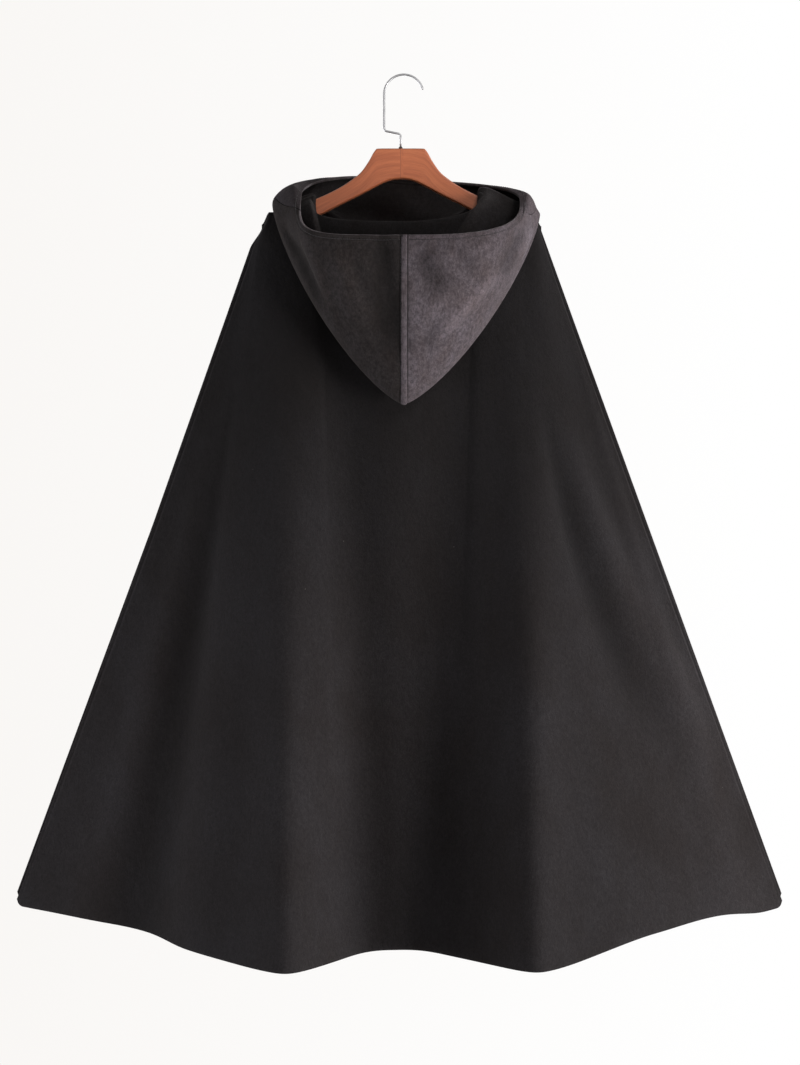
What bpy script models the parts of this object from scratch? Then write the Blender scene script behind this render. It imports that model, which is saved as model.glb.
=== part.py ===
# A hooded poncho that hangs from a shaped wooden hanger with a wire hook.
# Metres, +Z up. The back of the poncho faces -Y. The origin is the inside top of the hook.
import math

import bpy
import numpy as np

MM = 0.001

# The cloth and the gaps between pieces
CLOTH = 2.2 * MM  # thickness of the napped wool
SEAM_GAP = 0.3 * MM  # between two pieces that are sewn together
BAND_GAP = 0.6 * MM  # between the hood's halves and its front band, whose seam turns a tight fold
CLEAR = 0.4 * MM  # between the cloth and the wood under it

# The centre seam and the face hem of the hood
STRIP_HALF = 4.0 * MM  # half the width of the raised centre seam
STRIP_EDGE = 0.8 * MM  # the raised seam slopes down over this width
STRIP_RAISE = 1.3 * MM  # what its turned allowances add outside
HEM_DEPTH = 9.0 * MM  # depth of the turned hem along the face edge
HEM_RAISE = 1.8 * MM  # what the turned hem adds inside

# The hanger
WOOD_CENTRE = -4.3 * MM  # X of the hanger's middle, a little to the left of the hook's
WOOD_THICK = 14.0 * MM
WOOD_ROUND = 2.5 * MM  # rounding of the wood's edges
WIRE = 3.6 * MM  # diameter of the hook's wire
HOOK_RADIUS = 26.7 * MM  # to the middle of the wire
HOOK_OPEN = 16.0  # degrees above level where the wire ends
HOOK_SHANK = 72.5 * MM  # depth where the straight side turns to the middle
HOOK_STEM = 77.9 * MM  # depth where the stem starts
HOOK_BEND = 3.0 * MM  # size of the bends in the wire
HOOK_TURNS = 22  # points round the hook
STEM_GAP = 0.3 * MM  # the stem ends this far above the wood

# One arm of the hanger: reach from the middle, top and underside, in mm
ARM_COLUMNS = ("reach", "top", "under")
ARM = (
    (0.0, -99.7, -140.2),
    (10.0, -99.7, -141.0),
    (20.0, -99.7, -144.0),
    (30.0, -100.0, -148.8),
    (34.5, -104.0, -151.2),
    (42.4, -116.4, -155.4),
    (54.7, -132.9, -162.0),
    (63.9, -140.5, -166.6),
    (80.8, -152.0, -175.0),
    (117.5, -169.4, -193.3),
    (150.0, -180.4, -203.0),
    (158.0, -182.8, -204.6),
    (165.0, -185.0, -205.0),
)

# Rings of the hood from the neck seam to the face edge, in mm. left, right, back, side and front are how
# far the ring reaches from the middle of the neck, z_ is its height there, n_ is its squareness at the
# left and right (2 is an ellipse), out and drop bend its path from the side to the back, and seam is
# where the front band starts, in degrees from the back. rows is the number of cells up to the next ring.
RING_COLUMNS = (
    "rows", "left", "right", "back", "side", "front",
    "z_back", "z_left", "z_right", "z_front", "n_left", "n_right", "out", "drop", "seam",
)
RINGS = {
    "neck seam": (1, 122, 106, 36, 0, 42, -208.5, -165.8, -162.4, -215, 2.2, 2.0, 0.80, 1.3, 90),
    "inside of the roll": (1, 119, 102, 36, 0, 42, -205.6, -162.6, -157.5, -210, 2.2, 2.0, 0.80, 1.3, 90),
    "crest of the roll": (1, 121, 105, 43, 0, 48, -203.2, -160.4, -152.0, -203, 2.1, 1.9, 0.80, 1.3, 90),
    "over the shoulder": (3, 128, 118, 48, 0, 54, -208.0, -161.5, -154.0, -192, 2.0, 1.7, 0.80, 1.3, 90),
    "lower layer": (4, 152, 148, 53, -1, 61, -300.0, -170.5, -169.0, -174, 1.8, 1.7, 0.72, 1.1, 90),
    "lower point": (2, 170, 177, 60, -2, 67, -416.0, -176.0, -182.5, -158, 1.45, 1.45, 0.64, 1.0, 90),
    "outer fold": (1, 177, 187, 67, -5, 70, -450.0, -178.0, -189.0, -149, 1.33, 1.33, 0.62, 1.0, 90),
    "upper point": (4, 175, 186, 83, -9, 72, -424.0, -168.0, -181.0, -143, 1.45, 1.45, 0.64, 1.0, 90),
    "upper layer": (3, 164, 181, 111, -15, 73, -335.0, -154.0, -171.0, -137, 1.9, 1.8, 0.78, 1.0, 85),
    "near the hem": (3, 147, 170, 122, -20, 73, -268.0, -151.0, -166.0, -132, 2.5, 2.3, 0.9, 1.0, 79),
    "face edge": (0, 132, 156, 115, -24, 70, -228.5, -166.0, -171.0, -128, 3.2, 3.0, 1.0, 1.0, 74),
}
FRONT_SQUARENESS = 2.0  # of every ring where it rounds the front of the neck
FRONT_OUT = (0.8, 1.0)  # out and drop there, at the neck seam and at the face edge
FRONT_DROP = (1.4, 1.0)
SIDE_BLEND = 6.0  # how quickly the left side's height turns into the right side's at the middle
SQUARE_BLEND = 4.0  # how quickly a side's own squareness sets in beside the middle
HEM_STEP = 0.06  # the turned hem of the face edge steps down over this share of a ring
HOOD_CELLS = 12  # across each half of the hood, beside its centre seam
BAND_CELLS = 18  # across the front band
SEAM_TURNS = (1.5, 4.5, 9.0)  # degrees from the band's seams to the nearest columns, over the hanger's arm

# Folds of the two panels: where the line of the fold starts on the top edge, and where it meets the hem.
# place is -2 and 2 at the side seams, -1 and 1 at the ends of the neck, 0 at its middle. The rest is in
# mm: hem_x, hem_depth away from the hanger, hem_z, how far the fold is rounded at the hem, and the cells
# up to the next fold.
FOLD_COLUMNS = ("place", "hem_x", "hem_depth", "hem_z", "soft", "cells")
BACK_FOLDS = {
    "left side seam": (-2.0, -526, 0, -1119, 0, 6),
    "left hollow": (-1.92, -352, 58, -1147, 34, 3),
    "left bend": (-1.80, -284, 118, -1165, 26, 6),
    "left crest": (-1.50, -147, 201, -1181, 14, 9),
    "middle hollow": (-0.05, -14, 40, -1179, 70, 9),
    "right crest": (1.86, 166, 201, -1181, 14, 7),
    "right bend": (1.95, 431, 46, -1135, 22, 3),
    "right side seam": (2.0, 514, 0, -1121, 0, 0),
}
FRONT_FOLDS = {
    "left side seam": (-2.0, -526, 0, -1119, 0, 5),
    "left swell": (-1.82, -330, 74, -1143, 60, 5),
    "left dip": (-1.15, -150, 46, -1158, 55, 7),
    "middle swell": (-0.10, -20, 96, -1166, 75, 7),
    "right dip": (1.20, 140, 52, -1158, 55, 5),
    "right swell": (1.86, 325, 82, -1145, 60, 5),
    "right side seam": (2.0, 514, 0, -1121, 0, 0),
}
TIP_LEFT = (-193.0 * MM, -202.5 * MM)  # X and Z where the left shoulder becomes the side seam
TIP_RIGHT = (187.0 * MM, -205.0 * MM)
TIP_TURN = 0.945  # share of the way to the tip where the shoulder starts to turn down
TIP_FLAT = 0.75  # share of the shoulder where its edges start to close on the seam's middle
TIP_NARROW = 0.16  # the panel closes in on the side seam over this much of its place
ARM_LEAN = 1.12  # the arm slopes, so the cloth on it is thicker along Z
END_REACH = 0.8  # share of the arm's round end that the shoulders follow
OVER_ARM = 4.4 * MM  # radius of the cloth's turn over the arm, to the middle of the cloth
OVER_FALL = 2.2  # slope of the hood's cloth where it leaves the arm
OVER_FREE = 350.0  # how fast that slope grows beside the arm, per metre
NECK_STEP = 1.8 * MM  # the panels' neck edge lies this far outside the hood's at the sides
NECK_DROP = 1.5 * MM  # and this far below it
NECK_END_DROP = 1.6 * MM  # more at the ends of the neck
NECK_END = 8  # how sharply that starts
NECK_SETTLE = 0.3  # share of the shoulder where the neck's ends have settled on the arm
NECK_ROW = 2.0 * MM  # between the panel's first rows at the neck
NECK_PLACES = (0.74, 0.85, 0.92, 0.96, 1.0, 1.12)  # places of extra columns round the ends of the neck
NECK_LIFT = 0.8 * MM  # what the neck's edge stands off the arm where it crosses it
LAYER_GAP = 1.4 * MM  # between the shoulder and the hood's lower layer on it
NECK_SWELL = 150.0 * MM  # half the width over which the back neck holds the panel out
NECK_FADE = 0.13  # share of the panel's length where the neck's edge has smoothed out
CREST_SOFT = 20.0 * MM  # a fold rounded less than this at the hem gets columns of its own
LEAST_CELL = 2.4 * MM  # the least width of a panel's cell at the hem
ROUND_SAMPLES = 9  # points averaged to round a fold
PANEL_ROWS = (0.012, 0.030, 0.060, 0.105, 0.165, 0.24, 0.33, 0.43, 0.54, 0.66, 0.78, 0.89, 1.0)

# Colours, roughness and metallic value of each material
FINISHES = {
    "poncho_cloth": ((0.031, 0.028, 0.030), 0.95, 0.0),
    "hood_cloth": ((0.075, 0.066, 0.070), 0.95, 0.0),
    "hanger_wood": ((0.40, 0.145, 0.075), 0.42, 0.0),
    "hook_steel": ((0.55, 0.55, 0.56), 0.22, 1.0),
}


def clear_scene():
    for item in list(bpy.data.objects):
        bpy.data.objects.remove(item, do_unlink=True)


def material(name):
    colour, roughness, metallic = FINISHES[name]
    made = bpy.data.materials.new(name)
    made.use_nodes = True
    shader = made.node_tree.nodes["Principled BSDF"]
    shader.inputs["Base Color"].default_value = (*colour, 1.0)
    shader.inputs["Roughness"].default_value = roughness
    shader.inputs["Metallic"].default_value = metallic
    made.diffuse_color = (*colour, 1.0)
    return made


def smooth_step(t):
    t = np.clip(t, 0.0, 1.0)
    return t * t * (3.0 - 2.0 * t)


def glide(x, xs, ys, loose=False):
    """A curve through the points (xs, ys), read at x. It never overshoots them unless it is loose."""
    xs = np.asarray(xs, float)
    ys = np.asarray(ys, float)
    width = np.diff(xs)
    slope = np.diff(ys) / width
    tangent = np.zeros(len(xs))
    tangent[0] = slope[0]
    tangent[-1] = slope[-1]
    for i in range(1, len(xs) - 1):
        if loose:
            tangent[i] = (ys[i + 1] - ys[i - 1]) / (xs[i + 1] - xs[i - 1])
        elif slope[i - 1] * slope[i] > 0.0:
            near = 2.0 * width[i] + width[i - 1]
            far = width[i] + 2.0 * width[i - 1]
            tangent[i] = (near + far) / (near / slope[i - 1] + far / slope[i])
    x = np.clip(np.asarray(x, float), xs[0], xs[-1])
    cell = np.clip(np.searchsorted(xs, x, side="right") - 1, 0, len(width) - 1)
    t = (x - xs[cell]) / width[cell]
    start = (1.0 + 2.0 * t) * (1.0 - t) ** 2
    end = t * t * (3.0 - 2.0 * t)
    lean_start = t * (1.0 - t) ** 2 * width[cell]
    lean_end = t * t * (t - 1.0) * width[cell]
    return start * ys[cell] + end * ys[cell + 1] + lean_start * tangent[cell] + lean_end * tangent[cell + 1]


# The hanger's top edge, which the shoulders follow
ARM_REACH, ARM_TOP, ARM_UNDER = np.array(ARM).T * MM
TIP_RADIUS = (ARM_TOP[-1] - ARM_UNDER[-1]) / 2


def arm_top(x):
    """Height of the hanger's top edge, with the round end of its arm."""
    reach = abs(x - WOOD_CENTRE)
    past = min(max(0.0, reach - ARM_REACH[-1]), END_REACH * TIP_RADIUS)
    return float(glide(reach, ARM_REACH, ARM_TOP)) - TIP_RADIUS + math.sqrt(TIP_RADIUS**2 - past**2)


def shoulder_height(x):
    """Height of the middle of the cloth where it lies on the hanger's arm."""
    return arm_top(x) + (CLEAR + CLOTH / 2) * ARM_LEAN


def shoulder_line(x):
    """Height of the middle of the panels' cloth along the shoulder, or None past the tips."""
    tip = TIP_RIGHT if x > 0.0 else TIP_LEFT
    if abs(x) > abs(tip[0]):
        return None
    past_end = float(smooth_step((abs(x) - TIP_TURN * abs(tip[0])) / ((1.0 - TIP_TURN) * abs(tip[0]))))
    return shoulder_height(x) + (tip[1] - shoulder_height(tip[0])) * past_end


def lift_off_arm(point, under):
    """Raises a point of cloth to lie on the hanger's arm, or on that much cloth over it."""
    x, y, z = point
    line = shoulder_line(x)
    if line is None:
        return point
    stand = WOOD_THICK / 2 + CLEAR + CLOTH / 2 + under
    turn = OVER_ARM + under
    past = max(0.0, abs(y) - (stand - turn))
    arc = min(past, turn * OVER_FALL / math.hypot(1.0, OVER_FALL))
    fall = (past - arc) * (OVER_FALL + OVER_FREE * (past - arc))
    lowest = line + under * ARM_LEAN - (turn - math.sqrt(turn**2 - arc**2)) - fall
    return np.array((x, y, max(z, lowest)))


# The hood's rings
RING = {
    column: np.array([row[i] for row in RINGS.values()], float)
    for i, column in enumerate(RING_COLUMNS)
}
RING_AT = np.arange(len(RINGS), dtype=float)


def ring_value(column, level):
    return float(glide(level, RING_AT, RING[column], loose=True))


def ring_point(level, angle):
    """A point of the hood. level counts the rings from the neck, angle is 0 at the back and pi in front."""
    value = {column: ring_value(column, level) * MM for column in RING_COLUMNS[1:10]}
    across = math.sin(angle)
    along = math.cos(angle)
    to_right = 0.5 + 0.5 * math.tanh(SIDE_BLEND * across)
    behind = along > 0.0
    if behind:
        square = ring_value("n_right" if across > 0.0 else "n_left", level)
        square_middle = 0.5 * (ring_value("n_right", level) + ring_value("n_left", level))
        square = square_middle + (square - square_middle) * min(1.0, abs(across) * SQUARE_BLEND)
        out = ring_value("out", level)
        drop = ring_value("drop", level)
    else:
        square = FRONT_SQUARENESS
        out = float(np.interp(level, (0.0, RING_AT[-1]), FRONT_OUT))
        drop = float(np.interp(level, (0.0, RING_AT[-1]), FRONT_DROP))
    reach = (abs(across) ** square + abs(along) ** square) ** (-1.0 / square)
    share = min(1.0, reach * abs(along))
    width = value["right"] if across > 0.0 else value["left"]
    side_z = value["z_left"] + (value["z_right"] - value["z_left"]) * to_right
    end_y = -value["back"] if behind else value["front"]
    end_z = value["z_back"] if behind else value["z_front"]
    x = width * reach * across
    y = value["side"] + (end_y - value["side"]) * share**out
    z = side_z + (end_z - side_z) * share**drop
    under = (CLOTH + LAYER_GAP) * float(smooth_step(level - 1.0))
    return lift_off_arm(np.array((x, y, z)), under)


def hood_levels():
    """Levels of the hood's rows, with a row where the turned hem starts."""
    levels = []
    for i, rows in enumerate(RING["rows"][:-1].astype(int)):
        levels += [i + k / rows for k in range(rows)]
    back = [ring_point(level, 0.0) for level in (RING_AT[-2], RING_AT[-1])]
    hem_share = HEM_DEPTH / np.linalg.norm(back[1] - back[0])
    hem_start = RING_AT[-1] - hem_share
    levels = [level for level in levels if level < hem_start - 2 * HEM_STEP]
    return levels + [hem_start - HEM_STEP, hem_start, RING_AT[-1] - hem_share / 2, RING_AT[-1]]


def is_hem(level, levels):
    return level >= levels[-3] - 1e-9


def seam_side(level, angle, way):
    """The angle half a seam gap away from a seam of the hood, on the side that way names."""
    step = 0.002
    speed = np.linalg.norm(ring_point(level, angle + way * step) - ring_point(level, angle)) / step
    return angle + way * BAND_GAP / 2 / speed


def hood_surface(rows):
    """The points of a piece of the hood and the unit normals there, from its rows of levels and angles."""
    step = 0.004
    grid = np.array([[ring_point(*spot) for spot in row] for row in rows])
    normal = np.zeros_like(grid)
    for i, row in enumerate(rows):
        for j, (level, angle) in enumerate(row):
            upper = min(level + step * 5, RING_AT[-1])
            lower = max(level - step * 5, 0.0)
            along = ring_point(upper, angle) - ring_point(lower, angle)
            across = ring_point(level, angle + step) - ring_point(level, angle - step)
            normal[i, j] = np.cross(across, along)
    return grid, normal / np.linalg.norm(normal, axis=2, keepdims=True)


def hood_half(side, levels):
    """Rows of levels and angles of one half of the hood, from the centre seam to the front band's seam."""
    rows = []
    for level in levels:
        width = ring_value("right" if side > 0 else "left", level) * MM
        seam = math.radians(ring_value("seam", level))
        near = [offset / width for offset in (SEAM_GAP / 2, STRIP_HALF, STRIP_HALF + STRIP_EDGE)]
        far = np.linspace(near[-1], seam - math.radians(SEAM_TURNS[-1]), HOOD_CELLS - 2)[1:]
        last = [seam - math.radians(turn) for turn in SEAM_TURNS[-2::-1]]
        last.append(seam_side(level, side * seam, -side))
        rows.append([(level, side * angle) for angle in (*near, *far, *last[:-1])] + [(level, last[-1])])
    return rows


def hood_band(levels):
    """Rows of levels and angles of the front band, from its right seam round the front to its left one."""
    rows = []
    for level in levels:
        seam = math.radians(ring_value("seam", level))
        turns = [math.radians(turn) for turn in SEAM_TURNS]
        first = [seam_side(level, seam, 1.0), *(seam + turn for turn in turns[:-1])]
        middle = np.linspace(seam + turns[-1], 2.0 * math.pi - seam - turns[-1], BAND_CELLS - 5)
        last = [2.0 * math.pi - seam - turn for turn in turns[-2::-1]]
        last.append(2.0 * math.pi + seam_side(level, -seam, -1.0))
        rows.append([(level, angle) for angle in (*first, *middle, *last)])
    return rows


# The panels
def neck_edge(place, front):
    """The panel's edge at the neck seam. place is -1 and 1 at the ends of the neck and 0 at its middle."""
    angle = place * math.pi / 2
    if front:
        angle = math.pi - angle
    point = ring_point(0.0, angle)
    width = ring_value("right" if place > 0.0 else "left", 0.0) * MM
    point[0] *= 1.0 + NECK_STEP / width
    point[2] -= NECK_DROP + NECK_END_DROP * abs(place) ** NECK_END
    return lift_off_arm(point, NECK_LIFT)


def top_edge(place, front):
    """The panel's top edge at a place: the neck between -1 and 1, and the shoulders beyond them."""
    if abs(place) <= 1.0:
        return neck_edge(place, front)
    side = math.copysign(1.0, place)
    start = neck_edge(side, front)
    tip = TIP_RIGHT if place > 0.0 else TIP_LEFT
    share = abs(place) - 1.0
    x = start[0] + (tip[0] - start[0]) * share
    settled = float(smooth_step(share / NECK_SETTLE))
    z = shoulder_line(x) + (start[2] - shoulder_line(start[0])) * (1.0 - settled)
    sign = 1.0 if front else -1.0
    y = sign * (SEAM_GAP / 2 + CLOTH / 2 * float(smooth_step((share - TIP_FLAT) / (1.0 - TIP_FLAT))))
    return np.array((x, y, z))


def beside_arm(place):
    """Distance of the cloth's middle from the seam plane beside the arm, less where the arm has ended."""
    flat = SEAM_GAP / 2 + CLOTH / 2
    settled = float(smooth_step((abs(place) - 1.0) / NECK_SETTLE))
    full = WOOD_THICK / 2 + CLEAR + CLOTH / 2 + NECK_LIFT * (1.0 - settled)
    return flat + (full - flat) * float(smooth_step((2.0 - abs(place)) / TIP_NARROW))


class Folds:
    """The folds of one panel, read from its table."""

    def __init__(self, table):
        columns = np.array(list(table.values()), float).T
        self.place, self.x, self.depth, self.z, self.soft = columns[:5]
        self.cells = columns[5].astype(int)
        self.x, self.depth, self.z, self.soft = (v * MM for v in (self.x, self.depth, self.z, self.soft))

    def rounded(self, x, values):
        """The straight lines between folds, averaged over the width that each fold is rounded."""
        soft = np.interp(x, self.x, self.soft)
        near = np.linspace(-1.0, 1.0, ROUND_SAMPLES)
        ends = np.clip(x + soft * near, self.x[0], self.x[-1])
        return float(np.mean(np.interp(ends, self.x, values)))

    def hem_point(self, x, front):
        depth = self.rounded(x, self.depth) + SEAM_GAP / 2 + CLOTH / 2
        height = float(glide(x, self.x, self.z))
        return np.array((x, depth if front else -depth, height))

    def columns(self):
        """Hem X of each column of points, closer together at the crests and the ends of the neck."""
        spots = set()
        for i, cells in enumerate(self.cells[:-1]):
            spots.update(np.linspace(self.x[i], self.x[i + 1], cells + 1))
            if 0.0 < self.soft[i] < CREST_SOFT:
                spots.update(self.x[i] + self.soft[i] * k for k in (-1.0, -0.5, 0.5, 1.0))
        for place in NECK_PLACES:
            spots.update(float(np.interp(sign * place, self.place, self.x)) for sign in (-1.0, 1.0))
        kept = []
        for spot in sorted(spots):
            if not kept or spot - kept[-1] > LEAST_CELL:
                kept.append(spot)
        kept[-1] = self.x[-1]
        return kept


def panel(table, front):
    """Rows of points of a panel, from its top edge over the arm and down straight lines to the hem."""
    folds = Folds(table)
    neck_reach = abs(neck_edge(0.0, front)[1])
    columns = []
    leans = []
    for x in folds.columns():
        place = float(np.interp(x, folds.x, folds.place))
        top = top_edge(place, front)
        hem = folds.hem_point(x, front)
        stand = beside_arm(place)
        sign = 1.0 if front else -1.0
        turn = min(OVER_ARM, max(0.0, stand - abs(top[1])))
        flat = max(0.0, stand - abs(top[1]) - turn)
        straight = 1.0 - turn / OVER_ARM
        line = [top]
        lean = [straight]
        for k, bend in enumerate((0.0, 45.0, 90.0), start=1):
            out = flat + turn * math.sin(math.radians(bend))
            down = turn * (1.0 - math.cos(math.radians(bend))) + straight * NECK_ROW * k
            line.append(top + np.array((0.0, sign * out, -down)))
            lean.append(max(straight, (k - 1) / 2))
        leans.append(lean)
        start = line[-1]
        swell = float(smooth_step(1.0 - abs(start[0]) / NECK_SWELL))
        smooth_y = sign * (stand + (neck_reach - stand) * swell)
        for share in PANEL_ROWS:
            point = start + (hem - start) * share
            point[1] += (smooth_y - start[1]) * (1.0 - share) * float(smooth_step(share / NECK_FADE))
            line.append(point)
        columns.append(line)
    grid = np.array(columns).transpose(1, 0, 2)
    return grid, panel_normals(grid, np.array(leans).T, sign)


def panel_normals(grid, lean, sign):
    """The panel's normals: up on the arm, level beside it, and then the surface's own further down."""
    normal = surface_normals(grid) * -sign
    turned = len(lean)
    bend = lean * math.pi / 2
    normal[:turned] = np.stack([np.zeros_like(bend), sign * np.sin(bend), np.cos(bend)], axis=2)
    for k, share in enumerate(PANEL_ROWS):
        own = float(smooth_step(share / NECK_FADE))
        mixed = normal[turned + k] * own + np.array((0.0, sign, 0.0)) * (1.0 - own)
        normal[turned + k] = mixed / np.linalg.norm(mixed, axis=1, keepdims=True)
    return normal


# Solids
def surface_normals(grid):
    """The unit normal at each point of a grid of points."""
    down = np.gradient(grid, axis=0)
    across = np.gradient(grid, axis=1)
    normal = np.cross(down, across)
    length = np.linalg.norm(normal, axis=2, keepdims=True)
    return normal / np.maximum(length, 1e-12)


def cloth_solid(name, grid, normal, outer, inner, finish, keep=None):
    """A closed wall round a grid of points, outer thick along the normals and inner thick the other way.
    keep, if given, is an axis and the sign to keep to on it, half a seam gap from the middle."""
    rows, cols = grid.shape[:2]
    walls = [grid + normal * outer[..., None], grid - normal * inner[..., None]]
    if keep:
        axis, sign = keep
        for wall in walls:
            wall[..., axis] = sign * np.maximum(sign * wall[..., axis], SEAM_GAP / 2)
    count = rows * cols
    points = np.concatenate([wall.reshape(-1, 3) for wall in walls])

    def at(i, j, layer):
        return layer * count + i * cols + j

    faces = []
    for i in range(rows - 1):
        for j in range(cols - 1):
            faces.append((at(i, j, 0), at(i, j + 1, 0), at(i + 1, j + 1, 0), at(i + 1, j, 0)))
            faces.append((at(i + 1, j, 1), at(i + 1, j + 1, 1), at(i, j + 1, 1), at(i, j, 1)))
    rim = [(0, j) for j in range(cols)]
    rim += [(i, cols - 1) for i in range(1, rows)]
    rim += [(rows - 1, j) for j in range(cols - 2, -1, -1)]
    rim += [(i, 0) for i in range(rows - 2, 0, -1)]
    for (i, j), (k, m) in zip(rim, rim[1:] + rim[:1]):
        faces.append((at(k, m, 0), at(i, j, 0), at(i, j, 1), at(k, m, 1)))
    mesh = bpy.data.meshes.new(name)
    mesh.from_pydata([tuple(point) for point in points], [], faces)
    mesh.update()
    turn_outward(mesh)
    mesh.shade_smooth()
    mesh.materials.append(material(finish))
    made = bpy.data.objects.new(name, mesh)
    collection.objects.link(made)
    return made


def turn_outward(mesh):
    """Flips the faces of a closed mesh if they point in."""
    volume = 0.0
    for face in mesh.polygons:
        corners = [mesh.vertices[v].co for v in face.vertices]
        for b, c in zip(corners[1:], corners[2:]):
            volume += corners[0].dot(b.cross(c)) / 6.0
    if volume < 0.0:
        mesh.flip_normals()


def body_panels():
    for name, table, front in (("back_panel", BACK_FOLDS, False), ("front_panel", FRONT_FOLDS, True)):
        grid, normal = panel(table, front)
        wall = np.full(grid.shape[:2], CLOTH / 2)
        side = 1.0 if front else -1.0
        cloth_solid(name, grid, normal, wall, wall, "poncho_cloth", keep=(1, side))


def hood():
    levels = hood_levels()
    hem = np.array([HEM_RAISE if is_hem(level, levels) else 0.0 for level in levels])
    for name, side in (("hood_left", -1.0), ("hood_right", 1.0)):
        grid, normal = hood_surface(hood_half(side, levels))
        outer = np.full(grid.shape[:2], CLOTH / 2)
        inner = outer + hem[:, None]
        outer[:, :2] += STRIP_RAISE
        cloth_solid(name, grid, normal, outer, inner, "hood_cloth", keep=(0, side))
    grid, normal = hood_surface(hood_band(levels))
    outer = np.full(grid.shape[:2], CLOTH / 2)
    cloth_solid("hood_front", grid, normal, outer, outer + hem[:, None], "hood_cloth")


def hanger_wood():
    """The hanger's outline, filled and given its thickness, with rounded edges."""
    reach = np.concatenate([np.linspace(0.0, 30.0, 4), np.linspace(34.5, 80.8, 9), np.linspace(92, 165, 8)]) * MM
    top = [(r, float(glide(r, ARM_REACH, ARM_TOP))) for r in reach]
    under = [(r, float(glide(r, ARM_REACH, ARM_UNDER))) for r in reach[::-1]]
    middle = (ARM_TOP[-1] + ARM_UNDER[-1]) / 2
    turns = np.radians(np.linspace(90.0, -90.0, 9)[1:-1])
    end = [(reach[-1] + TIP_RADIUS * math.cos(turn), middle + TIP_RADIUS * math.sin(turn)) for turn in turns]
    arm = [*top, *end, *under]
    outline = arm + [(-r, z) for r, z in reversed(arm[1:-1])]
    curve = bpy.data.curves.new("hanger_wood", "CURVE")
    curve.dimensions = "2D"
    curve.fill_mode = "BOTH"
    curve.extrude = WOOD_THICK / 2 - WOOD_ROUND
    curve.bevel_depth = WOOD_ROUND
    curve.bevel_resolution = 1
    curve.offset = -WOOD_ROUND
    spline = curve.splines.new("POLY")
    spline.points.add(len(outline) - 1)
    for point, (r, z) in zip(spline.points, outline):
        point.co = (r, z, 0.0, 1.0)
    spline.use_cyclic_u = True
    made = bpy.data.objects.new("hanger_wood", curve)
    made.location = (WOOD_CENTRE, 0.0, 0.0)
    made.rotation_euler = (math.pi / 2, 0.0, 0.0)
    made.data.materials.append(material("hanger_wood"))
    collection.objects.link(made)
    return made


def hook_path():
    """The middle of the wire: round the top of the hook, down one side, in to the middle and down."""
    centre = WIRE / 2 - HOOK_RADIUS
    path = []
    for angle in np.linspace(HOOK_OPEN, 180.0, HOOK_TURNS):
        turn = math.radians(angle)
        path.append((HOOK_RADIUS * math.cos(turn), centre + HOOK_RADIUS * math.sin(turn)))
    bend = HOOK_BEND
    side = -HOOK_RADIUS
    stem = WOOD_CENTRE
    path += [(side, centre - 20 * MM), (side, -HOOK_SHANK + bend)]
    path += [(side + 0.3 * bend, -HOOK_SHANK), (side + bend, -HOOK_SHANK - 0.75 * bend)]
    path += [(stem - bend, -HOOK_STEM + 0.3 * bend), (stem - 0.3 * bend, -HOOK_STEM - 0.2 * bend)]
    path += [(stem, -HOOK_STEM - bend), (stem, ARM_TOP[0] + STEM_GAP)]
    return path


def hanger_hook():
    curve = bpy.data.curves.new("hanger_hook", "CURVE")
    curve.dimensions = "3D"
    curve.bevel_depth = WIRE / 2
    curve.bevel_resolution = 2
    curve.use_fill_caps = True
    spline = curve.splines.new("POLY")
    path = hook_path()
    spline.points.add(len(path) - 1)
    for point, (x, z) in zip(spline.points, path):
        point.co = (x, 0.0, z, 1.0)
    made = bpy.data.objects.new("hanger_hook", curve)
    made.data.materials.append(material("hook_steel"))
    collection.objects.link(made)
    return made


clear_scene()
collection = bpy.data.collections.new("hooded_poncho_on_hanger")
bpy.context.scene.collection.children.link(collection)
body_panels()
hood()
hanger_wood()
hanger_hook()
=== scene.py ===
# %% [markdown]
# # A hooded poncho on a wooden hanger
# This file dresses a finished model of a poncho, cut in charcoal napped wool, that hangs from a wooden
# hanger. The solids come packed, with their sizes settled. Here they get cloth with soft creases, sewing,
# and finishes made from nodes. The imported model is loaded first, because every piece below takes its place
# from it.

# %% Load the solids
import math

import bmesh
import bpy
import numpy as np
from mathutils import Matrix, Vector


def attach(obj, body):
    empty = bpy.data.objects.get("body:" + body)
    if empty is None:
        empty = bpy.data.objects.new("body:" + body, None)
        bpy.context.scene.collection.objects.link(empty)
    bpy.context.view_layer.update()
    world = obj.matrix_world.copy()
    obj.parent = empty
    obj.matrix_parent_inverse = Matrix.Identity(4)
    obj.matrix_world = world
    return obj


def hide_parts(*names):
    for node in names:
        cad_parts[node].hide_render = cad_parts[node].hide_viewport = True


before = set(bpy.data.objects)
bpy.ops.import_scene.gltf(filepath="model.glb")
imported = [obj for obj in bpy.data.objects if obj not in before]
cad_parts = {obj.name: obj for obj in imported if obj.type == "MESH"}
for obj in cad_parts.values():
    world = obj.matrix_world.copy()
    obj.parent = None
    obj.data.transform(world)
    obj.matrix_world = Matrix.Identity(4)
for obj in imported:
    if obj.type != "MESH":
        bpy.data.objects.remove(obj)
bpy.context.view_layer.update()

MM = 0.001
print("solids:", sorted(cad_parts))

# %% [markdown]
# ## The camera
# The poncho is seen straight from behind, at about the height of its middle, from three metres away. A
# long lens keeps the hood, which hangs nearer than the hanger, from looking too large.

# %% Set up the camera
camera_data = bpy.data.cameras.new("view_from_behind")
camera_data.lens = 74.56
camera_data.sensor_width = 36.0
camera = bpy.data.objects.new("view_from_behind", camera_data)
camera.location = (-0.0051, -3.0, -0.6213)
camera.rotation_euler = (math.radians(90.0), 0.0, 0.0)
bpy.context.scene.collection.objects.link(camera)
bpy.context.scene.camera = camera
print("camera at", tuple(camera.location))

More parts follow.
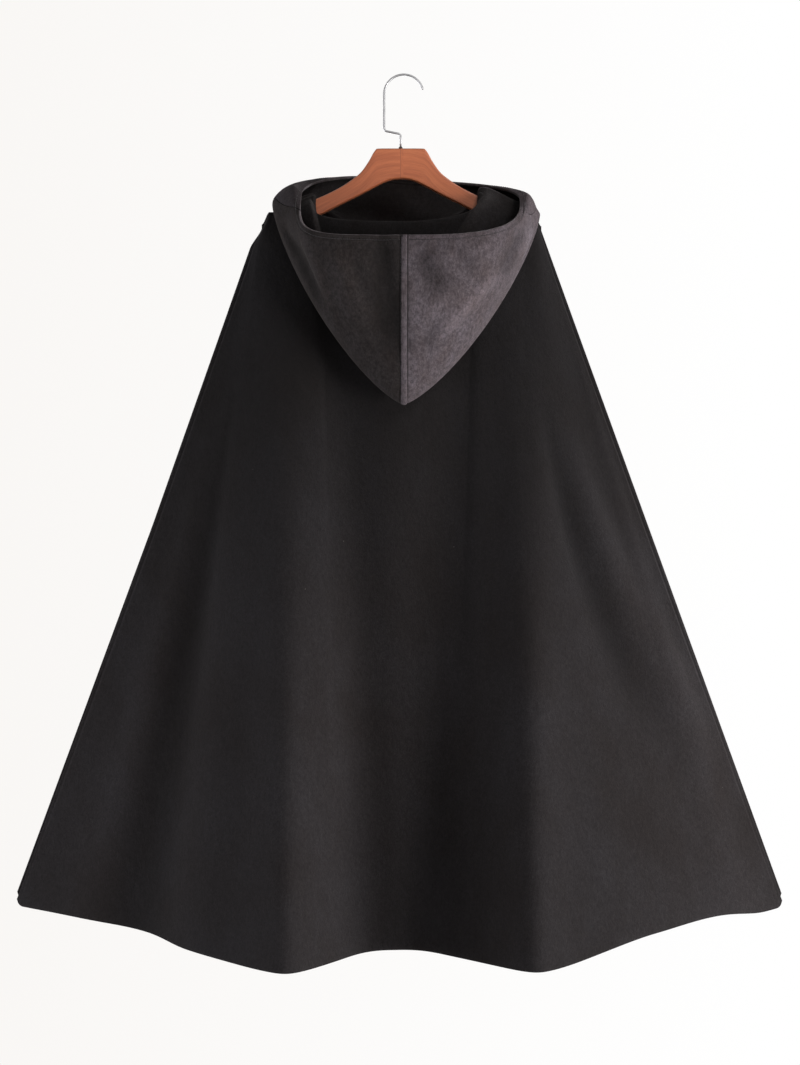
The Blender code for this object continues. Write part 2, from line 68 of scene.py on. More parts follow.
# %% [markdown]
# ## Smooth curves
# Every shape below is read from short tables of sizes. One helper runs a smooth curve through the numbers
# of a column, and another is the soft switch that lets a crease or a seam begin and end without a corner.
# Subdividing a coarse mesh would round things too, but then the folds would drift off the sizes of the
# solids.


# %% Curves through a few sizes
def soft_switch(t):
    t = np.clip(t, 0.0, 1.0)
    return t * t * (3.0 - 2.0 * t)


def bell(offset, width):
    """A soft bump: 1 in its middle, and near 0 at twice its width."""
    return np.exp(-((offset / width) ** 2))


def glide(x, xs, ys, loose=False):
    """A curve through the points (xs, ys), read at x. It never overshoots them unless it is loose."""
    xs = np.asarray(xs, float)
    ys = np.asarray(ys, float)
    width = np.diff(xs)
    slope = np.diff(ys) / width
    tangent = np.zeros(len(xs))
    tangent[0] = slope[0]
    tangent[-1] = slope[-1]
    for i in range(1, len(xs) - 1):
        if loose:
            tangent[i] = (ys[i + 1] - ys[i - 1]) / (xs[i + 1] - xs[i - 1])
        elif slope[i - 1] * slope[i] > 0.0:
            near = 2.0 * width[i] + width[i - 1]
            far = width[i] + 2.0 * width[i - 1]
            tangent[i] = (near + far) / (near / slope[i - 1] + far / slope[i])
    x = np.clip(np.asarray(x, float), xs[0], xs[-1])
    cell = np.clip(np.searchsorted(xs, x, side="right") - 1, 0, len(width) - 1)
    t = (x - xs[cell]) / width[cell]
    start = (1.0 + 2.0 * t) * (1.0 - t) ** 2
    end = t * t * (3.0 - 2.0 * t)
    lean_start = t * (1.0 - t) ** 2 * width[cell]
    lean_end = t * t * (t - 1.0) * width[cell]
    return start * ys[cell] + end * ys[cell + 1] + lean_start * tangent[cell] + lean_end * tangent[cell + 1]


def length_along(path):
    """Distance of each point of a path from its first one. Columns of points are as many paths."""
    steps = np.linalg.norm(np.diff(path, axis=0), axis=-1)
    return np.concatenate([np.zeros((1, *steps.shape[1:])), np.cumsum(steps, axis=0)])


print("a curve through 0, 1, 0 reads", round(float(glide(0.5, (0, 1, 2), (0, 1, 0))), 2), "half way up")

# %% [markdown]
# ## Sizes of the cloth and the hanger
# The wool is about two millimetres thick. The hanger's arm slopes down from its middle and ends in a round
# tip, and the shoulders of the poncho lie on it, so its outline is needed before any cloth.

# %% Sizes to share
CLOTH = 2.2 * MM  # thickness of the wool
SEAM_GAP = 0.3 * MM  # between two pieces that are sewn together
BAND_GAP = 0.6 * MM  # between the hood's halves and its front band
CLEAR = 0.4 * MM  # between the cloth and the wood under it
WOOD_MIDDLE = -4.3 * MM  # X of the hanger's middle
WOOD_THICK = 14.0 * MM
WOOD_ROUND = 2.5 * MM
ARM = np.array((  # reach from the middle, top and underside
    (0.0, -99.7, -140.2), (10.0, -99.7, -141.0), (20.0, -99.7, -144.0), (32.0, -100.0, -149.8),
    (35.8, -104.0, -151.9), (42.8, -116.4, -155.6), (54.7, -132.9, -162.0), (63.9, -140.5, -166.6),
    (80.8, -152.0, -175.0), (117.5, -169.4, -193.3), (150.0, -180.4, -203.0), (158.0, -182.8, -204.6),
    (165.0, -185.0, -205.0),
)) * MM
ARM_END = (ARM[-1, 1] - ARM[-1, 2]) / 2  # radius of the arm's round end
TIP_LEFT = (-193.0 * MM, -202.5 * MM)  # where the left shoulder becomes the side seam
TIP_RIGHT = (187.0 * MM, -205.0 * MM)
TIP_TURN = 0.945  # share of the way to the tip where the shoulder starts to turn down
ARM_LEAN = 1.12  # the arm slopes, so the cloth on it is thicker along Z
OVER_ARM = 4.4 * MM  # radius of the cloth's turn over the arm
OVER_FALL = 2.2  # slope of the hood's cloth where it leaves the arm
OVER_FREE = 350.0  # how fast that slope grows beside the arm, per metre
LAYER_GAP = 1.4 * MM  # between the shoulder and the hood's lower layer on it


def shoulder_height(x):
    """Height of the middle of the cloth where it lies on the hanger's arm."""
    reach = np.abs(x - WOOD_MIDDLE)
    past = np.clip(reach - ARM[-1, 0], 0.0, 0.8 * ARM_END)
    top = glide(reach, ARM[:, 0], ARM[:, 1]) - ARM_END + np.sqrt(ARM_END**2 - past**2)
    return top + (CLEAR + CLOTH / 2) * ARM_LEAN


def shoulder_line(x):
    """Height of the middle of the panels' cloth along the shoulder, and far below past the tips."""
    x = np.asarray(x, float)
    tip_x = np.where(x > 0.0, TIP_RIGHT[0], TIP_LEFT[0])
    tip_z = np.where(x > 0.0, TIP_RIGHT[1], TIP_LEFT[1])
    share = (np.abs(x / tip_x) - TIP_TURN) / (1.0 - TIP_TURN)
    height = shoulder_height(x) + (tip_z - shoulder_height(tip_x)) * soft_switch(share)
    return np.where(np.abs(x) > np.abs(tip_x) + 1e-9, -9.0, height)


def lift_off_arm(points, under):
    """Raises points of cloth to lie on the hanger's arm, or on that much cloth over it."""
    x, y, z = points[..., 0], points[..., 1], points[..., 2]
    turn = OVER_ARM + under
    past = np.maximum(0.0, np.abs(y) - (WOOD_THICK / 2 + CLEAR + CLOTH / 2 + under - turn))
    arc = np.minimum(past, turn * OVER_FALL / math.hypot(1.0, OVER_FALL))
    fall = (past - arc) * (OVER_FALL + OVER_FREE * (past - arc))
    lowest = shoulder_line(x) + under * ARM_LEAN - (turn - np.sqrt(turn**2 - arc**2)) - fall
    return np.stack([x, y, np.maximum(z, lowest)], axis=-1)


fall = float(shoulder_line(-0.06) - shoulder_line(-0.17))
print("the left shoulder falls", round(fall / MM), "mm over 110 mm")

# %% [markdown]
# ## The shape of the hood
# The hood hangs folded back on itself like a pouch. It rises from the neck seam, rolls over the shoulder,
# runs down the back, turns at a fold and comes up again to the face edge. Each row of the table is one
# ring round the neck, so the whole hood is one surface with two coordinates: level, which counts the
# rings, and angle, which is 0 at the back and turns to the right. A cloth simulation would settle a hood
# somewhere near, but not in this one's pose. Where the hood rolls over each shoulder it bulges a little
# more, which leaves an edge inside the neck.

# %% Rings of the hood
# Nine sizes in mm: how far a ring reaches each way, the Y of its sides, and its heights. Then how square it
# is on each side, how its outline and its height bend on their way to the back, and the angle of the band's
# seam in degrees.
RING_COLUMNS = (
    "left", "right", "back", "side", "front",
    "z_back", "z_left", "z_right", "z_front", "n_left", "n_right", "out", "drop", "seam",
)
RINGS = {
    "neck seam": (122, 106, 36, 0, 42, -212.0, -165.8, -162.4, -215, 3.6, 2.2, 0.80, 0.65, 90),
    "inside of the roll": (120, 102, 36, 0, 42, -210.0, -162.6, -157.5, -210, 3.6, 2.2, 0.80, 0.65, 90),
    "crest of the roll": (123, 105, 43, 0, 48, -208.6, -160.4, -152.0, -203, 3.5, 2.1, 0.80, 0.65, 90),
    "over the shoulder": (130, 118, 48, 0, 54, -213.0, -161.5, -154.0, -192, 2.9, 1.9, 0.80, 0.75, 90),
    "lower layer": (152, 148, 53, -1, 61, -300.0, -170.5, -169.0, -174, 1.8, 1.7, 0.72, 1.1, 90),
    "lower point": (170, 177, 60, -2, 67, -416.0, -176.0, -182.5, -158, 1.45, 1.45, 0.64, 1.0, 90),
    "outer fold": (177, 184, 67, -5, 70, -450.0, -178.0, -189.0, -149, 1.33, 1.33, 0.62, 1.0, 90),
    "upper point": (175, 179, 83, -9, 72, -424.0, -168.0, -181.0, -143, 1.45, 1.45, 0.64, 1.0, 90),
    "upper layer": (162, 174, 111, -15, 73, -335.0, -156.5, -171.0, -137, 1.9, 1.8, 0.78, 1.0, 82),
    "near the hem": (148, 167, 122, -20, 73, -270.0, -154.0, -165.0, -132, 3.1, 2.3, 0.9, 1.0, 74),
    "face edge": (138, 156, 115, -24, 70, -231.5, -166.0, -171.0, -128, 5.2, 3.0, 1.0, 1.0, 68),
}
RING = dict(zip(RING_COLUMNS, np.array(list(RINGS.values()), float).T))
for column in RING_COLUMNS[:9]:
    RING[column] = RING[column] * MM
RING_AT = np.arange(len(RINGS), dtype=float)


def ring_value(column, level):
    return glide(level, RING_AT, RING[column], loose=True)


print("rings of the hood:", len(RINGS))

# %% Bulges over the shoulders
ROLLS = (  # side, its edge's distance from the middle low down, and how that grows with height
    (-1.0, 110.0 * MM, 0.22),
    (1.0, 70.0 * MM, 0.60),
)
ROLL_LOW = -219.0 * MM  # Z where those distances are measured
ROLL_STEP = 7.0 * MM  # width over which a bulge rises
ROLL_PUSH = 8.0 * MM
ROLL_END = 4.4  # level where the bulges have ended
ROLL_FADE = 1.2  # levels over which they end


def roll_levels(level):
    """1 on the rings that roll over the shoulders, and 0 well below and above them."""
    return soft_switch(level - 1.0) * soft_switch((ROLL_END - level) / ROLL_FADE)


def roll_share(x, z, level):
    """How much a point behind the shoulders belongs to the bulge over one of them, from 0 to 1."""
    bulge = np.zeros(np.shape(x))
    for side, lower_x, lean_x in ROLLS:
        bulge += soft_switch((side * x - lower_x - lean_x * (z - ROLL_LOW)) / ROLL_STEP)
    return bulge * roll_levels(level)


print("bulges over the shoulders:", len(ROLLS))

# %% Points of the hood
FRONT_RISE = 12.0 * MM  # the front of the face edge stands higher on the left than on the right
RISE_FROM = 6.0  # level where that rise begins
RISE_OVER = 3.0  # levels over which it grows
SIDE_BLEND = 6.0  # how fast the left side's sizes give way to the right side's
FRONT_OUT = (0.8, 1.0)  # bend of the front's outline at the neck seam and at the face edge
FRONT_DROP = (1.4, 1.0)  # bend of the front's fall, in the same way


def hood_points(level, angle):
    """Points of the hood. level counts the rings from the neck, angle is 0 at the back and pi in front."""
    level, angle = np.broadcast_arrays(np.asarray(level, float), np.asarray(angle, float))
    size = {column: ring_value(column, level) for column in RING_COLUMNS[:9]}
    across = np.sin(angle)
    along = np.cos(angle)
    to_right = 0.5 + 0.5 * np.tanh(SIDE_BLEND * across)
    behind = along > 0.0
    left_square = ring_value("n_left", level)
    right_square = ring_value("n_right", level)
    middle = 0.5 * (left_square + right_square)
    square = np.where(across > 0.0, right_square, left_square)
    square = middle + (square - middle) * np.minimum(1.0, np.abs(across) * 4.0)
    square = np.where(behind, square, 2.0)
    to_face = level / RING_AT[-1]
    out = np.where(behind, ring_value("out", level), np.interp(to_face, (0.0, 1.0), FRONT_OUT))
    drop = np.where(behind, ring_value("drop", level), np.interp(to_face, (0.0, 1.0), FRONT_DROP))
    reach = (np.abs(across) ** square + np.abs(along) ** square) ** (-1.0 / square)
    share = np.minimum(1.0, reach * np.abs(along))
    width = np.where(across > 0.0, size["right"], size["left"])
    side_z = size["z_left"] + (size["z_right"] - size["z_left"]) * to_right
    end_y = np.where(behind, -size["back"], size["front"])
    end_z = np.where(behind, size["z_back"], size["z_front"])
    y = size["side"] + (end_y - size["side"]) * share**out
    z = side_z + (end_z - side_z) * share**drop
    tilt = np.where(across > 0.0, -across * (1.0 - across), -across)  # up on the left, down on the right
    rise = FRONT_RISE * share * tilt * soft_switch((level - RISE_FROM) / RISE_OVER)
    z = z + np.where(behind, 0.0, rise)
    x = width * reach * across
    y = y - ROLL_PUSH * np.where(behind, roll_share(x, z, level), 0.0) * soft_switch(share / 0.25)
    points = np.stack([x, y, z], axis=-1)
    return lift_off_arm(points, (CLOTH + LAYER_GAP) * soft_switch(level - 1.0))


def hood_normals(level, angle):
    """The outside direction of the hood's cloth at each point."""
    upper = np.minimum(level + 0.02, RING_AT[-1])
    lower = np.maximum(level - 0.02, 0.0)
    along = hood_points(upper, angle) - hood_points(lower, angle)
    across = hood_points(level, angle + 0.004) - hood_points(level, angle - 0.004)
    normal = np.cross(across, along)
    return normal / np.linalg.norm(normal, axis=-1, keepdims=True)


print("the hood's point hangs at", [round(float(v), 3) for v in hood_points(6.0, 0.0)], "m")

# %% [markdown]
# ## The shape of the two panels
# Each panel starts at the neck seam or on the shoulder, turns over the hanger's arm and falls in straight
# lines to the hem. The folds are rows of a table: where the line of each fold starts along the top, and
# where it reaches the hem. The crests between them are tight and the hollows are wide, as thick wool
# hangs.

# %% Folds of the panels
# place is 0 at the middle of the neck, 1 at its end and 2 at the shoulder's tip. The rest is in mm: the
# hem's X, its distance from the seam plane and its Z, and how widely the fold is rounded.
FOLD_COLUMNS = ("place", "hem_x", "hem_depth", "hem_z", "soft")
BACK_FOLDS = {
    "left side seam": (-2.0, -526, 0, -1128.5, 0),
    "left hollow": (-1.92, -352, 58, -1151.5, 34),
    "left bend": (-1.80, -284, 118, -1167, 26),
    "left crest": (-1.50, -147, 201, -1183, 14),
    "middle hollow": (-0.05, -14, 40, -1174, 70),
    "right crest": (1.86, 166, 201, -1181, 14),
    "right slope": (1.9157, 330, 105, -1147.5, 14),
    "right bend": (1.95, 431, 46, -1133, 22),
    "right sag": (1.976, 474, 22, -1135, 14),
    "right side seam": (2.0, 514, 0, -1130.5, 0),
}
FRONT_FOLDS = {
    "left side seam": (-2.0, -526, 0, -1119, 0),
    "left swell": (-1.82, -330, 74, -1143, 60),
    "left dip": (-1.15, -150, 46, -1158, 55),
    "middle swell": (-0.10, -20, 96, -1166, 75),
    "right dip": (1.20, 140, 52, -1158, 55),
    "right swell": (1.86, 325, 82, -1145, 60),
    "right side seam": (2.0, 514, 0, -1121, 0),
}
print("folds behind:", len(BACK_FOLDS) - 2, "and in front:", len(FRONT_FOLDS) - 2)

# %% The top edge of a panel
BACK_NECK_OUT = 1.8 * MM  # the back panel's neck edge lies this far outside the hood's, at its ends
FRONT_NECK_OUT = 2.2 * MM  # and the front panel's
FRONT_NECK_AHEAD = 2.9 * MM  # the front panel's neck edge lies this far before the band, in its middle
FRONT_NECK_COVER = 2.8 * MM  # and comes up this far over it
FRONT_NECK_ARCH = 8.0 * MM  # between its middle and its ends it comes up by a quarter of this more
NECK_BELOW = 1.5 * MM  # the neck edges lie this far below the hood's
NECK_END_BELOW = 1.6 * MM  # and this much more at their ends
NECK_LIFT = 0.8 * MM  # what the neck's edge stands off the arm where it crosses it
NECK_SETTLE = 0.3  # share of the shoulder where the neck's ends have settled on the arm


def neck_edge(place, front):
    """The panel's edge at the neck seam. place is -1 and 1 at the ends of the neck and 0 at its middle."""
    angle = place * math.pi / 2
    points = hood_points(np.zeros_like(place), math.pi - angle if front else angle)
    width = np.where(place > 0.0, RING["right"][0], RING["left"][0])
    points[..., 0] *= 1.0 + (FRONT_NECK_OUT if front else BACK_NECK_OUT) / width
    points[..., 2] -= NECK_BELOW + NECK_END_BELOW * np.abs(place) ** 8
    if front:
        points[..., 1] *= 1.0 + FRONT_NECK_AHEAD / RING["front"][0]
        points[..., 2] += FRONT_NECK_COVER * (1.0 - np.abs(place) ** 6)
        points[..., 2] += FRONT_NECK_ARCH * place**2 * (1.0 - place**2)
    return lift_off_arm(points, NECK_LIFT)


def top_edge(place, front):
    """The panel's top edge: the neck between -1 and 1, and the shoulders beyond them."""
    neck = neck_edge(np.clip(place, -1.0, 1.0), front)
    share = np.clip(np.abs(place) - 1.0, 0.0, 1.0)
    tip_x = np.where(place > 0.0, TIP_RIGHT[0], TIP_LEFT[0])
    x = neck[..., 0] + (tip_x - neck[..., 0]) * share
    settled = soft_switch(share / NECK_SETTLE)
    z = shoulder_line(x) + (neck[..., 2] - shoulder_line(neck[..., 0])) * (1.0 - settled)
    sign = 1.0 if front else -1.0
    y = sign * (SEAM_GAP / 2 + CLOTH / 2 * soft_switch((share - 0.75) / 0.25))
    shoulder = np.stack([x, y, z], axis=-1)
    return np.where((np.abs(place) <= 1.0)[..., None], neck, shoulder)


def beside_arm(place):
    """Distance of the cloth's middle from the seam plane beside the arm, less where the arm has ended."""
    flat = SEAM_GAP / 2 + CLOTH / 2
    settled = soft_switch((np.abs(place) - 1.0) / NECK_SETTLE)
    full = WOOD_THICK / 2 + CLEAR + CLOTH / 2 + NECK_LIFT * (1.0 - settled)
    return flat + (full - flat) * soft_switch((2.0 - np.abs(place)) / 0.16)


print("the back neck dips to", round(float(neck_edge(np.zeros(1), False)[0, 2]) / MM), "mm")

# %% Surfaces of the panels
NECK_SWELL = 150.0 * MM  # half the width over which the back neck holds the panel out
NECK_FADE = 0.13  # share of the panel's length where the neck's edge has smoothed out
PANEL_COLUMNS = 250
PANEL_ROWS = 120
ROW_CROWDING = 1.25  # rows lie closer near the shoulder, the more this is over 1
END_PLACES = (0.8, 0.88, 0.94, 0.975, 1.0, 1.03, 1.08)  # more columns beside the neck's ends
SIDE_COLUMNS = np.arange(1.5, 30.0, 1.5) * MM  # more columns this far from the side seams, at the hem
CORNER = 9.0 * MM  # radius of the hem's corners
SOFTEN_TOP = 34.0 * MM  # the cloth can't follow a sharp bend, so its depth is softened over this much
SOFTEN_HEM = 7.0 * MM
SPREAD = 40.0 * MM  # below the neck the lines of the cloth are evened out over this much of the hem
TURN_ROWS = 9  # where the cloth turns over the arm
TURN_DROP = 6.0 * MM  # what those rows fall where the cloth has nothing to turn over
EASE = 6.8 * MM  # the left side stands out this much below the shoulder before it falls straight


def softened(x, values, width):
    """Values along x, each one averaged with its neighbours over a width that shrinks beside the ends."""
    reach = np.minimum(width, 0.4 * np.minimum(x - x[0], x[-1] - x)) + 1e-6
    steps = np.linspace(-2.0, 2.0, 17)
    near = np.interp(x[:, None] + reach[:, None] * steps, x, values)
    weight = np.exp(-(steps**2) / 2.0)
    return near @ weight / weight.sum()


def panel_surface(folds, front):
    """Points and outside directions of a panel, with each point's hem X and its share of the way down."""
    table = dict(zip(FOLD_COLUMNS, np.array(list(folds.values()), float).T))
    fold_x = table["hem_x"] * MM
    near_ends = np.outer((-1, 1), END_PLACES).ravel()
    ends = np.interp(near_ends, table["place"], fold_x)
    spots = [np.linspace(fold_x[0], fold_x[-1], PANEL_COLUMNS), ends]
    spots += [fold_x[0] + SIDE_COLUMNS, fold_x[-1] - SIDE_COLUMNS]
    x = np.unique(np.round(np.concatenate(spots), 5))
    place = np.interp(x, fold_x, table["place"])
    soft = np.interp(x, fold_x, table["soft"] * MM)
    spread = np.clip(x[:, None] + soft[:, None] * np.linspace(-1.0, 1.0, 9), fold_x[0], fold_x[-1])
    depth = np.interp(spread, fold_x, table["hem_depth"] * MM).mean(axis=1) + SEAM_GAP / 2 + CLOTH / 2
    sign = 1.0 if front else -1.0
    past_corner = np.maximum(0.0, CORNER - np.minimum(x - fold_x[0], fold_x[-1] - x))
    hem_z = glide(x, fold_x, table["hem_z"] * MM) + CORNER - np.sqrt(CORNER**2 - past_corner**2)
    hem = np.stack([x, sign * depth, hem_z], axis=-1)
    top = top_edge(place, front)
    stand = beside_arm(place)
    turn = np.minimum(OVER_ARM, np.maximum(0.0, stand - np.abs(top[:, 1])))
    flat = np.maximum(0.0, stand - np.abs(top[:, 1]) - turn)
    straight = 1.0 - turn / OVER_ARM
    rows = [top]
    leans = [straight]
    for k in range(TURN_ROWS):
        bend = math.pi / 2 * k / (TURN_ROWS - 1)
        out = flat + turn * math.sin(bend)
        down = turn * (1.0 - math.cos(bend)) + straight * TURN_DROP * (k + 1) / TURN_ROWS
        rows.append(top + np.stack([0.0 * out, sign * out, -down], axis=-1))
        leans.append(np.maximum(straight, bend / (math.pi / 2)))
    start = rows[-1]
    neck_reach = abs(float(neck_edge(np.zeros(1), front)[0, 1]))
    swell = (neck_reach - stand) * soft_switch(1.0 - np.abs(start[:, 0]) / NECK_SWELL)
    smooth = start.copy()
    smooth[:, 0] = softened(x, start[:, 0], SPREAD)
    smooth[:, 1] = sign * (stand + swell)
    shares = np.linspace(0.0, 1.0, PANEL_ROWS + 1)[1:] ** ROW_CROWDING
    for share in shares:
        below_neck = soft_switch(share / NECK_FADE)
        row = start + (hem - start) * share + (smooth - start) * (1.0 - share) * below_neck
        width = SOFTEN_HEM + (SOFTEN_TOP - SOFTEN_HEM) * (1.0 - share) ** 2
        row[:, 1] = softened(row[:, 0], row[:, 1], width * below_neck)
        ease = EASE * soft_switch(share / 0.03) * max(0.0, 1.0 - share / 0.45)
        row[:, 0] -= ease * soft_switch((-place - 1.2) / 0.8)
        rows.append(row)
    grid = np.stack(rows)
    normal = np.cross(np.gradient(grid, axis=0), np.gradient(grid, axis=1)) * -sign
    normal /= np.maximum(np.linalg.norm(normal, axis=2, keepdims=True), 1e-12)
    lean = np.stack(leans) * math.pi / 2
    turned = len(leans)
    normal[:turned] = np.stack([0.0 * lean, sign * np.sin(lean), np.cos(lean)], axis=-1)
    own = soft_switch(shares / NECK_FADE)[:, None, None]
    mixed = normal[turned:] * own + np.array((0.0, sign, 0.0)) * (1.0 - own)
    normal[turned:] = mixed / np.linalg.norm(mixed, axis=2, keepdims=True)
    down = np.concatenate([np.zeros(turned), shares])[:, None]
    return grid, normal, np.broadcast_to(x, grid.shape[:2]), np.broadcast_to(down, grid.shape[:2])


back_surface = panel_surface(BACK_FOLDS, False)
front_surface = panel_surface(FRONT_FOLDS, True)
print("back panel grid:", back_surface[0].shape[:2], "front panel grid:", front_surface[0].shape[:2])

# %% [markdown]
# ## Creases
# Straight folds alone look like sheet metal. Wool that hangs also has shallow troughs and ridges which
# start and stop anywhere, so each panel gets a few. A crease follows the lines of the
# cloth, drifts a little sideways, and grows wider towards the hem. They differ in length, depth and
# spacing, as they do on a real one.

# %% Place the creases of the panels
# x, drift, width and depth are in mm at the hem, start and end are shares of the way down.
CREASE_COLUMNS = ("x", "drift", "start", "end", "width", "depth")
BACK_CREASES = (
    (-424, 6, 0.18, 1.60, 42, 6.0),
    (-345, 6, 0.16, 1.50, 40, -8.0),
    (-226, -10, 0.40, 1.40, 42, -3.0),
    (-108, 14, 0.36, 0.92, 40, 2.0),
    (-52, 10, 0.54, 1.45, 36, -2.5),
    (34, -12, 0.40, 1.05, 46, 2.0),
    (96, 8, 0.62, 1.40, 34, -2.0),
    (196, 240, 0.22, 0.84, 52, -9.5),
    (292, 226, 0.24, 0.88, 60, 8.5),
    (236, 10, 0.56, 1.40, 40, -2.5),
    (372, 14, 0.40, 1.30, 46, 2.0),
    (452, 4, 0.05, 1.60, 44, 6.0),
)
FRONT_CREASES = (
    (-470, 10, 0.45, 1.40, 38, -3.0),
    (-402, -12, 0.30, 0.95, 44, 3.5),
    (-262, 14, 0.52, 1.45, 40, -4.0),
    (-186, -8, 0.26, 0.84, 36, 3.0),
    (-92, 10, 0.46, 1.35, 38, 3.5),
    (18, -14, 0.28, 0.90, 42, -3.0),
    (82, 8, 0.58, 1.45, 32, 3.0),
    (212, 12, 0.34, 0.98, 40, 3.5),
    (272, -10, 0.56, 1.40, 34, -3.5),
    (404, 10, 0.38, 1.35, 44, 3.0),
)
RIDGE_FULL_LIGHT_AT = 9.0 * MM  # a ridge this high gets the full painted light, and a trough this deep the full painted shade


def creased(surface, creases):
    """Moves a panel's points out or in by its creases, and gives its ridges painted light and its troughs
    painted shade.
    """
    grid, normal, x, down = surface
    push = np.zeros(grid.shape[:2])
    for row in creases:
        crease = dict(zip(CREASE_COLUMNS, row))
        length = crease["end"] - crease["start"]
        along = (down - crease["start"]) / length
        middle = (crease["x"] + crease["drift"] * along) * MM
        width = crease["width"] * MM * (0.45 + 0.55 * down)
        fade = soft_switch(along / 0.4) * soft_switch((1.0 - along) / 0.4)
        push += crease["depth"] * MM * fade * bell(x - middle, width)
    # Painted light and shade: ridges are painted lighter and troughs darker, by their height.
    painted_light_and_shade = np.clip(push / RIDGE_FULL_LIGHT_AT, -1.0, 1.0) * 0.6
    return grid + normal * push[..., None], normal, down, painted_light_and_shade


back_surface = creased(back_surface, BACK_CREASES)
front_surface = creased(front_surface, FRONT_CREASES)
print("creases:", len(BACK_CREASES), "behind and", len(FRONT_CREASES), "in front")

# %% [markdown]
# ## Cloth with two sides and a soft edge
# A piece of cloth is a closed shell: an outer wall, an inner wall, and an edge that turns round between
# them. The Solidify modifier gives two walls but a square edge, and a square edge on wool looks cut from
# card. A helper that makes an object of points and faces comes first, because the thread, the hanger and
# the hook need it as well.


# %% Objects from points and faces
def new_piece(name, points, faces, finishes, place=(0.0, 0.0, 0.0)):
    """A closed piece with its faces turned outwards and its finishes. It rides on the one body."""
    mesh = bpy.data.meshes.new(name)
    mesh.from_pydata(np.asarray(points).tolist(), [], faces)
    mesh.update()
    shape = bmesh.new()
    shape.from_mesh(mesh)
    if shape.calc_volume(signed=True) < 0.0:
        bmesh.ops.reverse_faces(shape, faces=shape.faces)
    shape.to_mesh(mesh)
    shape.free()
    mesh.shade_smooth()
    for finish in finishes:
        mesh.materials.append(finish)
    piece = bpy.data.objects.new(name, mesh)
    piece.location = place
    bpy.context.scene.collection.objects.link(piece)
    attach(piece, "root")
    return piece


def tube_faces(rings, sides, first=0):
    """Faces of a tube of rings of points, from point number first on, with a cap at each end."""
    faces = []
    for k in range(rings - 1):
        for m in range(sides):
            a = first + k * sides + m
            b = first + k * sides + (m + 1) % sides
            faces.append((a, b, b + sides, a + sides))
    faces.append(tuple(first + m for m in range(sides - 1, -1, -1)))
    faces.append(tuple(first + (rings - 1) * sides + m for m in range(sides)))
    return faces


print("a tube of 4 rings of 6 points has", len(tube_faces(4, 6)), "faces")


# %% Shells of cloth
EDGE_TURNS = (50.0, 0.0, -50.0)  # degrees: the rows of points that turn round an edge
EDGE_ROOM = 1.3 * MM  # an edge turns within this much cloth at most


def directions(vectors):
    return vectors / np.maximum(np.linalg.norm(vectors, axis=-1, keepdims=True), 1e-12)


def cloth_shell(name, grid, normal, outer, inner, finishes, keep=None, painted_light_and_shade=None):
    """A closed shell round a grid of points. finishes are for its outside, its inside and maybe the edge
    of its last row. keep is an axis and a sign: the walls stay on that side of 0. The last argument holds
    the painted light and shade of each point: lighter where it is above 0 and darker where below."""
    rows, cols = grid.shape[:2]
    outer = np.broadcast_to(outer, (rows, cols))
    inner = np.broadcast_to(inner, (rows, cols))
    inward = np.zeros_like(grid)
    room = np.full((rows, cols), EDGE_ROOM)
    every = slice(None)
    edges = (((0,), (1,)), ((-1,), (-2,)), ((every, 0), (every, 1)), ((every, -1), (every, -2)))
    for edge, beside in edges:
        step = grid[beside] - grid[edge]
        inward[edge] += directions(step)
        room[edge] = np.minimum(room[edge], 0.6 * np.linalg.norm(step, axis=-1))
    half = (outer + inner) / 2
    turn = np.minimum(half, room)[..., None]
    middle = grid + normal * ((outer - inner) / 2)[..., None] + inward * turn
    layers = [middle + normal * half[..., None], middle - normal * half[..., None]]
    rim = [(0, j) for j in range(cols)] + [(i, cols - 1) for i in range(1, rows)]
    rim += [(rows - 1, j) for j in range(cols - 2, -1, -1)] + [(i, 0) for i in range(rows - 2, 0, -1)]
    ri, rj = np.array(rim).T
    bends = []
    for lean in np.radians(EDGE_TURNS):
        bend = middle[ri, rj] - inward[ri, rj] * turn[ri, rj] * math.cos(lean)
        bends.append(bend + normal[ri, rj] * half[ri, rj][:, None] * math.sin(lean))
    points = np.concatenate([layer.reshape(-1, 3) for layer in layers] + bends)
    if keep:
        axis, sign = keep
        points[:, axis] = sign * np.maximum(sign * points[:, axis], SEAM_GAP / 2)
    spot = np.arange(rows * cols).reshape(rows, cols)
    quads = np.stack([spot[:-1, :-1], spot[:-1, 1:], spot[1:, 1:], spot[1:, :-1]], axis=-1).reshape(-1, 4)
    faces = [quads, quads[:, ::-1] + rows * cols]
    ring = np.arange(len(rim))
    after = np.roll(ring, -1)
    first = ri * cols + rj
    turns = [2 * rows * cols + k * len(rim) + ring for k in range(len(bends))]
    loops = [first] + turns + [first + rows * cols]
    for upper, lower in zip(loops, loops[1:]):
        faces.append(np.stack([upper[after], upper, lower, lower[after]], axis=-1))
    faces = np.concatenate(faces)
    piece = new_piece(name, points, faces.tolist(), finishes)
    finish_number = np.zeros(len(faces), dtype=np.int32)
    finish_number[len(quads):2 * len(quads)] = 1
    if len(finishes) > 2:
        finish_number[2 * len(quads):] = np.tile(np.where(ri == rows - 1, 2, 0), len(loops) - 1)
    piece.data.polygons.foreach_set("material_index", finish_number)
    if painted_light_and_shade is not None:
        values = np.concatenate([painted_light_and_shade.ravel()] * 2 + [painted_light_and_shade[ri, rj]] * len(bends))
        light_paint = piece.data.attributes.new("painted_light_and_shade", "FLOAT", "POINT")
        light_paint.data.foreach_set("value", values.astype(np.float32))
    return piece


print("shells have", len(EDGE_TURNS), "rows of points round their edges")
